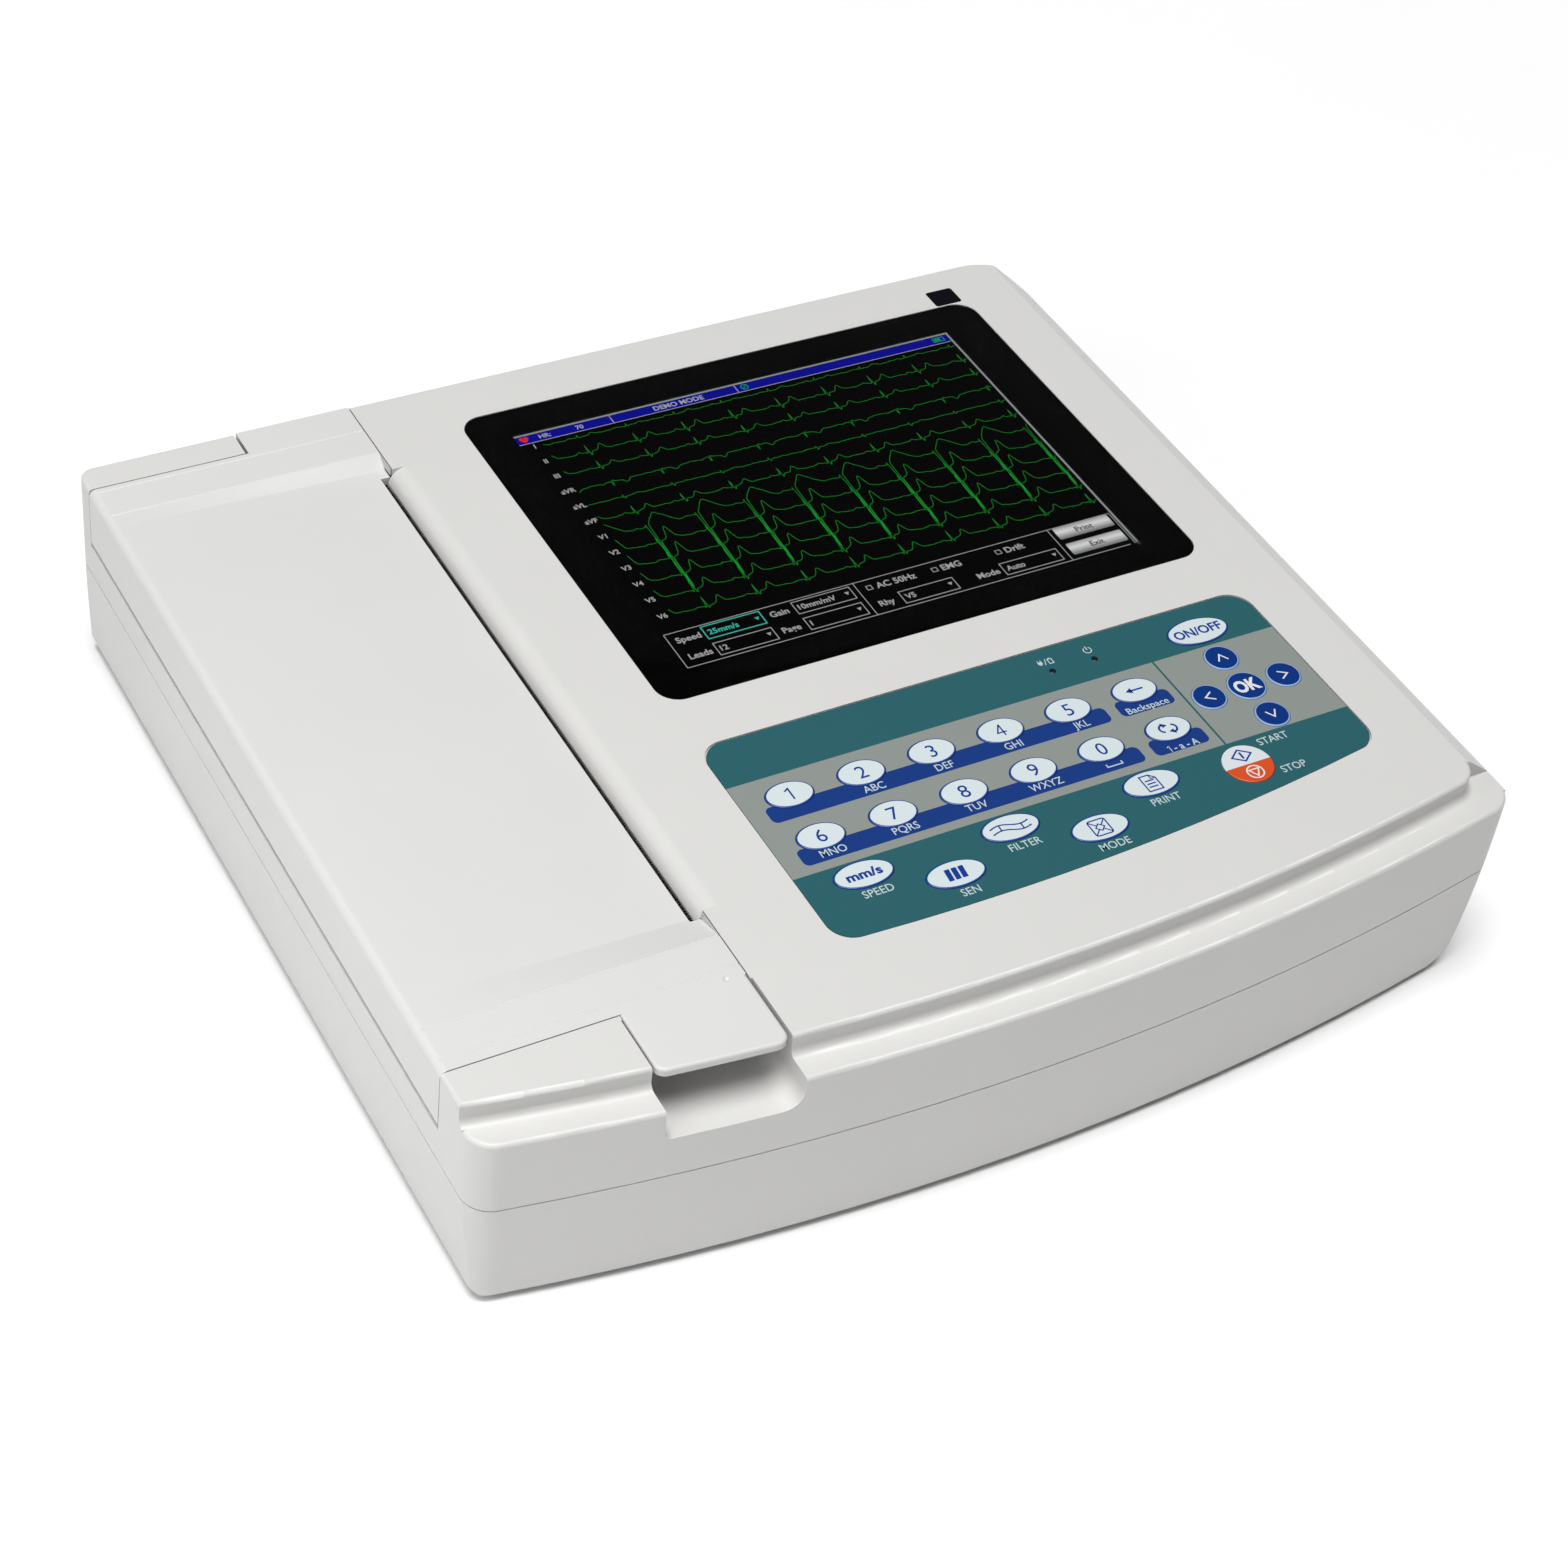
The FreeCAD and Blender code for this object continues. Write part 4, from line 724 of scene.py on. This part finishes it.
def make_lamps(paints):
    """Two small smoked lenses in the windows of the keypad film."""
    _, high = limits("keypad_overlay")
    for number, (x, y) in enumerate(lamp_spots(), 1):
        bm = bmesh.new()
        rings = []
        for step in range(9):
            angle = math.radians(90.0 * step / 9)
            radius = lens_radius * math.cos(angle)
            z = high.z - 0.15 + 0.22 * math.sin(angle)
            rings.append([(px, py, z) for px, py in ellipse_outline(x, y, radius, radius, 24)])
        foot = ellipse_outline(x, y, lens_radius, lens_radius, 24)
        base = [[(px, py, high.z - 0.7) for px, py in foot]]
        lathe_rings(bm, base + rings)
        name = f"lamp_lens_{number}"
        piece(name, finish_mesh(name, bm, 40), paints["lamp"], "case")


# ---------------------------------------------------------------- display
def make_glass(paints):
    """The clear front pane with ground edges, and the black border printed under it."""
    low, high = limits("display_glass")
    bevel = pane_bevel
    bm = bmesh.new()
    rings = []
    for inset, z in ((0.0, low.z + glass_gap), (0.0, high.z - bevel),
                     (bevel * 0.3, high.z - bevel * 0.3), (bevel, high.z)):
        outline = rounded_outline(low.x + inset, high.x - inset,
                                  low.y + inset, high.y - inset, pane_radius - inset)
        rings.append([(x, y, z) for x, y in outline])
    lathe_rings(bm, rings)
    piece("front_glass", finish_mesh("front_glass", bm, 25), paints["glass"], "case",
          replaces=("display_glass",))
    border = Ink()
    steps = 10
    outer = rounded_outline(low.x, high.x, low.y, high.y, pane_radius, steps)
    inner = rounded_outline(active_x[0] - 0.1, active_x[1] + 1.0,
                            active_y[0] - 0.1, active_y[1] + 1.0, 0.3, steps)
    border.strip(inner, outer, True)
    border.build("glass_border", low.z + 0.01, 0.05, paints["border_black"], "case", "lens_black")


# Heights in millimetres of the waves of each lead: P, Q, R, S, T and the raised stretch after S
leads = {
    "I": (0.4, -0.1, 1.3, -0.3, 0.8, 0.0),
    "II": (0.7, -0.3, 4.2, -1.5, 2.6, 0.3),
    "III": (0.5, -0.3, 3.4, -1.2, 1.8, 0.2),
    "aVR": (-0.4, 0.2, -2.4, 0.6, -1.5, -0.1),
    "aVL": (0.2, -0.1, 0.9, -0.9, 0.4, 0.0),
    "aVF": (0.6, -0.3, 3.6, -1.3, 2.2, 0.2),
    "V1": (0.4, 0.0, 2.2, -17.0, 1.0, 5.0),
    "V2": (0.4, 0.0, 4.0, -20.0, 5.4, 1.2),
    "V3": (0.4, 0.0, 5.0, -15.0, 5.6, 0.9),
    "V4": (0.4, -0.5, 7.5, -7.0, 4.8, 0.7),
    "V5": (0.4, -0.8, 6.0, -1.4, 3.8, 0.8),
    "V6": (0.4, -0.8, 4.6, -1.0, 3.0, 0.4),
}


def wave_height(x, heights):
    """Height of a lead's trace at a place along it."""
    p, q, r, s, t, raised = heights
    total = 0.0
    beat = round((x - beat_first) / beat_pitch)
    for neighbour in (beat - 1, beat, beat + 1):
        off = x - (beat_first + beat_pitch * neighbour)
        for size, centre, width in ((p, -3.3, 0.75), (q, -0.55, 0.16), (r, 0.0, 0.16), (s, 0.5, 0.32),
                                    (t, 5.0, 1.15)):
            total += size * math.exp(-((off - centre) / width) ** 2)
        if 0.6 < off < 5.0:
            total += raised * math.sin(math.pi * (off - 0.6) / 8.8)
        elif 5.0 <= off < 12.0:
            total += raised * (1.0 + math.cos(math.pi * (off - 5.0) / 7.0)) / 2
    return total


def trace_points(row, heights):
    """Points of one trace, close together only where it is steep."""
    base = trace_top - trace_pitch * row
    points = []
    x = trace_left
    step = 0.12
    last = None
    while x <= trace_right:
        wander = 0.12 * math.sin(x * 0.9 + row * 1.7) + 0.08 * math.sin(x * 2.3 + row)
        y = base + wave_height(x, heights) + wander
        if last is None or abs(y - last[1]) > 0.05 or x - last[0] > 0.8:
            points.append((x, y))
            last = (x, y)
        x += step
    return points


def make_screen(paints):
    """What the panel shows while it records: status bar, twelve traces and a row of settings."""
    _, high = limits("lcd_panel")
    z = high.z + 0.01
    x0, x1 = active_x
    y0, y1 = active_y
    Ink().box(x0, x1, y0, y1).build("screen_back", z, layer, paints["screen_back"], "case", "panel_metal")
    bar_low = y1 - status_bar
    Ink().box(x0 + 0.2, x1 - 0.2, bar_low, y1 - 0.1).build(
        "screen_bar", z + layer, layer, paints["screen_blue"], "case", "panel_metal")
    traces = Ink()
    names = Ink()
    for row, (name, heights) in enumerate(leads.items()):
        traces.line(trace_points(row, heights), trace_width)
        names.text(name, lead_names_x, trace_top + 0.7 - trace_pitch * row, 2.0, 0.02)
    traces.frame(118.5, 122.6, bar_low + 1.1, bar_low + 3.0, 0.3)
    traces.box(119.0, 121.3, bar_low + 1.5, bar_low + 2.6)
    traces.ring(45.6, bar_low + 2.0, 1.2, 0.35)
    traces.line([(44.9, bar_low + 1.4), (46.3, bar_low + 2.6)], 0.3)
    traces.build("screen_traces", z + 2 * layer, layer, paints["screen_green"], "case", "panel_metal")
    # status bar
    middle = (bar_low + y1) / 2
    names.text("HR:", -27.4, middle, 1.9, 0.02)
    names.text("70", -15.0, middle, 1.9, 0.02)
    names.text("DEMO MODE", 21.0, middle, 2.1, 0.02)
    for x in (-3.5, 42.5):
        names.line([(x, bar_low + 0.1), (x, y1 - 0.2)], 0.3)
    names.line([(x0 + 0.2, bar_low - 0.2), (x1 - 0.2, bar_low - 0.2)], 0.25)
    # settings
    names.line([(x0 + 0.8, panel_top), (x1 - 0.6, panel_top)], 0.25)
    names.line([(x0 + 0.8, panel_low), (x1 - 2.5, panel_low)], 0.25)
    for x in (x0 + 0.8, 29.0, 100.4, x1 - 0.6):
        names.line([(x, panel_low), (x, panel_top)], 0.25)
    fields = ((-24.6, -4.6, 1, "Leads", "12"), (6.6, 27.0, 0, "Gain", "10mm/mV"),
              (6.6, 27.0, 1, "Page", "1"), (40.2, 59.6, 1, "Rhy", "V5"), (77.0, 98.0, 1, "Mode", "Auto"))
    for left, right, row, label, value in fields:
        y = field_rows_y[row]
        names.frame(left, right, y, y + field_high, 0.28)
        names.text(value, left + 1.2, y + 2.8, 2.2, 0.02, 1.0, False)
        names.area([(right - 2.6, y + 3.7), (right - 1.8, y + 2.3), (right - 1.0, y + 3.7)])
        names.text(label, left - 5.5, y + 2.8, 2.4, 0.02)
    names.text("Speed", -30.2, 8.4, 2.4, 0.02)
    for x, label in ((33.0, "AC 50Hz"), (56.6, "EMG"), (80.0, "Drift")):
        names.frame(x - 0.9, x + 0.9, 7.6, 9.4, 0.25)
        names.text(label, x + 2.4, 8.5, 2.5, 0.02, 1.0, False)
    names.build("screen_white", z + 2 * layer, layer, paints["screen_white"], "case", "panel_metal")
    teal = Ink()
    teal.frame(-24.6, -4.6, 5.6, 11.4, 0.4)
    teal.text("25mm/s", -23.4, 8.4, 2.2, 0.02, 1.0, False)
    teal.area([(-7.2, 9.2), (-6.4, 7.8), (-5.6, 9.2)])
    teal.build("screen_choice", z + 2 * layer, layer, paints["screen_teal"], "case", "panel_metal")
    heart = Ink()
    half = [(0.0, -1.5), (1.0, -0.5), (1.6, 0.3), (1.5, 1.1), (0.9, 1.5), (0.3, 1.2)]
    outline = half + [(0.0, 0.8)] + [(-x, y) for x, y in reversed(half[1:])]
    heart.area([(-34.6 + x, middle + y) for x, y in outline])
    heart.build("screen_heart", z + 2 * layer, layer, paints["screen_red"], "case", "panel_metal")
    for name, low, text in button_rows:
        Ink().area(rounded_outline(*button_x, low, low + field_high, 0.5, 3)).build(
            f"screen_button_{name}", z + layer, layer, paints["screen_silver_" + name], "case", "panel_metal")
        Ink().text(text, sum(button_x) / 2, low + field_high / 2, 2.3, 0.01).build(
            f"screen_button_{name}_text", z + 2 * layer, layer, paints["screen_back"], "case", "panel_metal")
    # painted highlight: the inner edge of the panel's metal frame, seen past the border, glows as if lit,
    # drawn along the top and the right side only
    edge = Ink()
    edge.box(x0 - 0.4, x1 + 0.9, y1 + 0.1, y1 + 0.8)
    edge.box(x1 + 0.1, x1 + 0.8, y0 + 2.0, y1 + 0.1)
    edge.build("screen_bezel_painted_highlight", z, layer, paints["screen_edge_painted_glow"], "case", "panel_metal")


def silver(name, low):
    """A button drawn on the display, brighter across its middle."""
    paint = Paint(name)
    middle = low + field_high / 2
    off = paint.math("ABSOLUTE", paint.math("SUBTRACT", paint.axis(1), middle + 0.6))
    off = paint.math("DIVIDE", off, field_high / 2, clamp=True)
    glow = paint.mix(off, (0.72, 0.72, 0.72), (0.22, 0.22, 0.22))
    paint.set(Base_Color=(0.02, 0.02, 0.02), Emission_Color=glow, Emission_Strength=1.0, Roughness=0.5,
              Specular_IOR_Level=0.0)
    return paint.material


# ---------------------------------------------------------------- mechanism
def make_springs(paints):
    """Three coil springs behind the print head."""
    low, high = limits("head_springs")
    outer = (high.z - low.z) / 2
    wire = 0.4
    middle_z = (low.z + high.z) / 2
    length = high.x - low.x
    turns = 5.5
    bm = bmesh.new()
    for y in (low.y + outer, (low.y + high.y) / 2, high.y - outer):
        rings = []
        count = int(turns * 28)
        for step in range(count + 1):
            share = step / count
            angle = 2 * math.pi * turns * share
            radius = outer - wire
            x = low.x + wire + (length - 2 * wire) * share
            outward = Vector((0.0, math.cos(angle), math.sin(angle)))
            centre = Vector((x, y, middle_z)) + outward * radius
            rings.append([centre + (outward * math.cos(t) + Vector((1.0, 0.0, 0.0)) * math.sin(t)) * wire
                          for t in (2 * math.pi * k / 8 for k in range(8))])
        lathe_rings(bm, rings)
    piece("print_head_springs", finish_mesh("print_head_springs", bm, 60), paints["spring"], "case",
          replaces=("head_springs",))


# ---------------------------------------------------------------- finishes of the CAD nodes
def make_paints():
    """Every material by name."""
    white = (0.601, 0.597, 0.583)
    paints = {
        "case": moulded("case_plastic", white),
        # painted light: the door is the same white plastic as the case, made slightly lighter to stand in for
        # the stronger light that falls on it
        "door": moulded("door_plastic_painted_lighter", (0.612, 0.609, 0.599), grain=0.5),
        "key_white": ink("key_white_print", (0.59, 0.66, 0.68), 0.28),
        "key_blue": ink("key_blue_print", (0.0036, 0.03, 0.18), 0.28, 0.3),
        "key_rim": ink("key_rim_print", (0.013, 0.054, 0.27), 0.3),
        "key_rim_light": ink("key_rim_light_print", (0.252, 0.378, 0.612), 0.36),
        "legend_blue": ink("legend_blue_ink", (0.0054, 0.036, 0.252), 0.32),
        "legend_white": ink("legend_white_ink", (0.666, 0.684, 0.702), 0.32),
        "label_white": ink("label_white_ink", (0.45, 0.54, 0.558)),
        "lamp": moulded("lamp_smoke", (0.012, 0.012, 0.014), 0.18, relief=0.02),
        "glass": clear_glass(),
        "border_black": ink("border_black_ink", (0.002, 0.002, 0.002), 0.5, 0.0),
        "screen_back": lit("screen_black", (0.004, 0.004, 0.005), 0.1),
        "screen_blue": lit("screen_blue", (0.003, 0.004, 0.3), 1.0),
        "screen_green": lit("screen_green", (0.01, 0.36, 0.03), 1.0),
        "screen_white": lit("screen_white", (0.4, 0.4, 0.4), 1.0),
        "screen_teal": lit("screen_teal", (0.05, 0.5, 0.4), 1.0),
        "screen_red": lit("screen_red", (0.8, 0.02, 0.02), 1.0),
        # painted highlight: the metal edge of the panel's frame glows as if lit
        "screen_edge_painted_glow": lit("screen_edge_painted_glow", (0.3, 0.31, 0.32), 1.0),
        "screen_silver_print": silver("screen_silver_print", 6.4),
        "screen_silver_exit": silver("screen_silver_exit", -1.6),
        "spring": metal("spring_wire", (0.62, 0.6, 0.57), 0.28),
        "overlay": overlay_paint(),
        "paper": chart_paper(),
        "steel": metal("shaft_steel", (0.66, 0.66, 0.65), 0.25, (1.0, 0.08, 1.0)),
        "stamped": metal("stamped_steel", (0.6, 0.61, 0.62), 0.38, (0.1, 1.0, 1.0)),
        "brass": metal("pinion_brass", (0.72, 0.52, 0.22), 0.3),
        "alu": metal("extruded_aluminium", (0.74, 0.75, 0.76), 0.36, (1.0, 0.05, 1.0)),
        "acetal": moulded("gear_acetal", (0.74, 0.72, 0.65), 0.38, 0.8, 0.05),
        "bay": moulded("bay_plastic", (0.3, 0.31, 0.32), 0.5),
        "black": moulded("connector_plastic", (0.014, 0.014, 0.015), 0.42),
        "rubber_foot": rubber("foot_rubber", (0.035, 0.035, 0.037)),
        "rubber_platen": rubber("platen_rubber", (0.022, 0.022, 0.024), 0.62),
        "sensor": moulded("sensor_window", (0.004, 0.004, 0.006), 0.12, relief=0.0, coat=0.5),
    }
    steel = ((0.62, 0.62, 0.61), 0.3, 1.0)
    gold = ((0.8, 0.6, 0.28), 0.28, 1.0)
    dark = ((0.016, 0.016, 0.018), 0.45, 0.0)
    board = ((0.012, 0.115, 0.05), 0.4, 0.0)
    low, _ = limits("main_board")
    paints["main_board"] = zoned("main_board_finish", board, [
        ({2: (low.z + circuit_top, far)}, dark),
        ({2: (low.z + 5.8, far)}, steel)])
    low, _ = limits("keypad_board")
    paints["keypad_board"] = zoned("keypad_board_finish", board, [
        ({2: (low.z + circuit_top, far)}, steel),
        ({2: (low.z + 2.5, far)}, dark)])
    above = (power_circuit_z[1], far)
    paints["power_board"] = zoned("power_board_finish", steel, [
        ({2: power_circuit_z}, board),
        ({2: above, 0: (58.0, 94.0)}, gold),
        ({2: above, 0: (100.0, 125.0)}, dark)])
    low, high = limits("battery_pack")
    wrap = ((0.02, 0.09, 0.34), 0.35, 0.0)
    tape = ((0.7, 0.7, 0.7), 0.4, 0.0)
    paints["battery"] = zoned("battery_wrap", wrap, [
        ({1: (low.y + 8.0, low.y + 10.0)}, tape),
        ({1: (high.y - 10.0, high.y - 8.0)}, tape)])
    low, high = limits("stepper_motor")
    laminations = ((0.05, 0.05, 0.055), 0.5, 0.6)
    paints["motor"] = zoned("motor_finish", steel, [
        ({1: (low.y + 6.0, high.y - 6.0)}, laminations)], 0.3, 0.2)
    low, high = limits("mains_inlet")
    x = (low.x + high.x) / 2
    z = (low.z + high.z) / 2
    pin_y = (high.y - 18.5, high.y - 4.9)
    pins = [({0: (x + dx - 2.2, x + dx + 2.2), 1: pin_y, 2: (z + dz - 1.2, z + dz + 1.2)}, gold)
            for dx, dz in ((-7.0, -2.0), (7.0, -2.0), (0.0, 2.5))]
    paints["inlet"] = zoned("inlet_finish", dark, pins)
    low, high = limits("ecg_socket")
    y = (low.y + high.y) / 2
    z = (low.z + high.z) / 2
    insert = {0: (low.x, low.x + 9.6), 1: (y - 8.9, y + 8.9), 2: (z - 3.9, z + 3.9)}
    insert_blue = ((0.02, 0.06, 0.22), 0.45, 0.0)
    paints["socket"] = zoned("socket_finish", steel, [(insert, insert_blue)])
    low, high = limits("data_ports")
    paints["ports"] = zoned("port_finish", steel, [({0: (low.x, high.x - 0.9)}, dark)])
    low, _ = limits("print_head")
    ceramic = ((0.62, 0.6, 0.55), 0.3, 0.0)
    heater = ((0.08, 0.05, 0.03), 0.2, 0.3)
    paints["head"] = zoned("print_head_finish", ceramic, [
        ({0: (low.x + 3.05, 0.0), 2: (0.0, head_base_z)}, dark),
        ({2: heater_z, 0: (low.x - 0.1, low.x + 0.1)}, heater)])
    low, _ = limits("speaker")
    cone = ((0.03, 0.03, 0.03), 0.6, 0.0)
    paints["speaker"] = zoned("speaker_finish", cone, [({2: (low.z + 4.1, far)}, steel)])
    return paints


def dress_nodes(paints):
    """Gives every CAD node that stays its finish."""
    finishes = {
        "case": ["top_case", "bottom_case", "battery_door"],
        "door": ["printer_door"],
        "overlay": ["keypad_overlay"],
        "sensor": ["sensor_window"],
        "stamped": ["lcd_panel", "gear_plate", "case_screws"],
        "steel": ["platen_shaft", "hinge_pins", "tear_bar", "ground_post"],
        "brass": ["motor_pinion"],
        "alu": ["head_heatsink"],
        "acetal": ["platen_gear", "idler_gear"],
        "bay": ["paper_bay"],
        "black": ["switch_frame", "power_rocker", "roll_spindle"],
        "rubber_foot": ["rubber_feet"],
        "rubber_platen": ["platen_rubber"],
        "paper": ["paper_roll"],
        "main_board": ["main_board"],
        "keypad_board": ["keypad_board"],
        "power_board": ["power_board"],
        "battery": ["battery_pack"],
        "motor": ["stepper_motor"],
        "inlet": ["mains_inlet"],
        "socket": ["ecg_socket"],
        "ports": ["data_ports"],
        "head": ["print_head"],
        "speaker": ["speaker"],
    }
    for name, nodes in finishes.items():
        for node in nodes:
            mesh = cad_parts[node].data
            mesh.materials.clear()
            mesh.materials.append(paints[name])


# ---------------------------------------------------------------- stage, light and camera
def make_stage():
    paint = Paint("floor_white")
    paint.set(Base_Color=paint.mix(paint.noise(120.0), (0.885, 0.885, 0.885), (0.9, 0.9, 0.9)),
              Roughness=paint.blend(paint.noise(40.0), 0.75, 0.85))
    bm = bmesh.new()
    bmesh.ops.create_grid(bm, x_segments=4, y_segments=4, size=floor_half)
    mesh = finish_mesh("floor", bm)
    mesh.materials.append(paint.material)
    floor = bpy.data.objects.new("floor", mesh)
    bpy.context.scene.collection.objects.link(floor)
    floor.location.z = -0.0002


def lamp_at(name, kind, place, energy, **settings):
    """A light at a place, turned towards the middle of the object."""
    light = bpy.data.lights.new(name, kind)
    light.energy = energy
    for key, value in settings.items():
        setattr(light, key, value)
    lamp = bpy.data.objects.new(name, light)
    bpy.context.scene.collection.objects.link(lamp)
    lamp.location = Vector(place) * MM
    lamp.rotation_mode = "QUATERNION"
    lamp.rotation_quaternion = (-lamp.location).to_track_quat("-Z", "Y")


def make_light():
    world = bpy.data.worlds.new("studio")
    bpy.context.scene.world = world
    world.use_nodes = True
    back = world.node_tree.nodes["Background"]
    back.inputs["Color"].default_value = (1.0, 1.0, 1.0, 1.0)
    back.inputs["Strength"].default_value = 0.02
    # soft light from overhead, and a weak box off the left side
    lamp_at("overhead", "SUN", (-80.0, -90.0, 990.0), 3.4, angle=math.radians(36.0))
    lamp_at("left_box", "AREA", (-580.0, -200.0, 440.0), 1.6, size=0.5)
    bpy.context.scene.view_settings.view_transform = "Standard"


def make_camera():
    data = bpy.data.cameras.new("camera")
    data.lens = camera_lens
    data.sensor_width = 36.0
    camera = bpy.data.objects.new("camera", data)
    bpy.context.scene.collection.objects.link(camera)
    place = Vector(camera_place) * MM
    look = (Vector(camera_aim) * MM - place).normalized()
    camera.location = place
    camera.rotation_mode = "QUATERNION"
    roll = Quaternion((0, 0, 1), math.radians(camera_roll))
    camera.rotation_quaternion = look.to_track_quat("-Z", "Y") @ roll
    bpy.context.scene.camera = camera


# ---------------------------------------------------------------- assembly
make_camera()
make_stage()
make_light()
all_paints = make_paints()
dress_nodes(all_paints)
make_keys(all_paints)
make_labels(all_paints)
make_lamps(all_paints)
make_glass(all_paints)
make_screen(all_paints)
make_springs(all_paints)
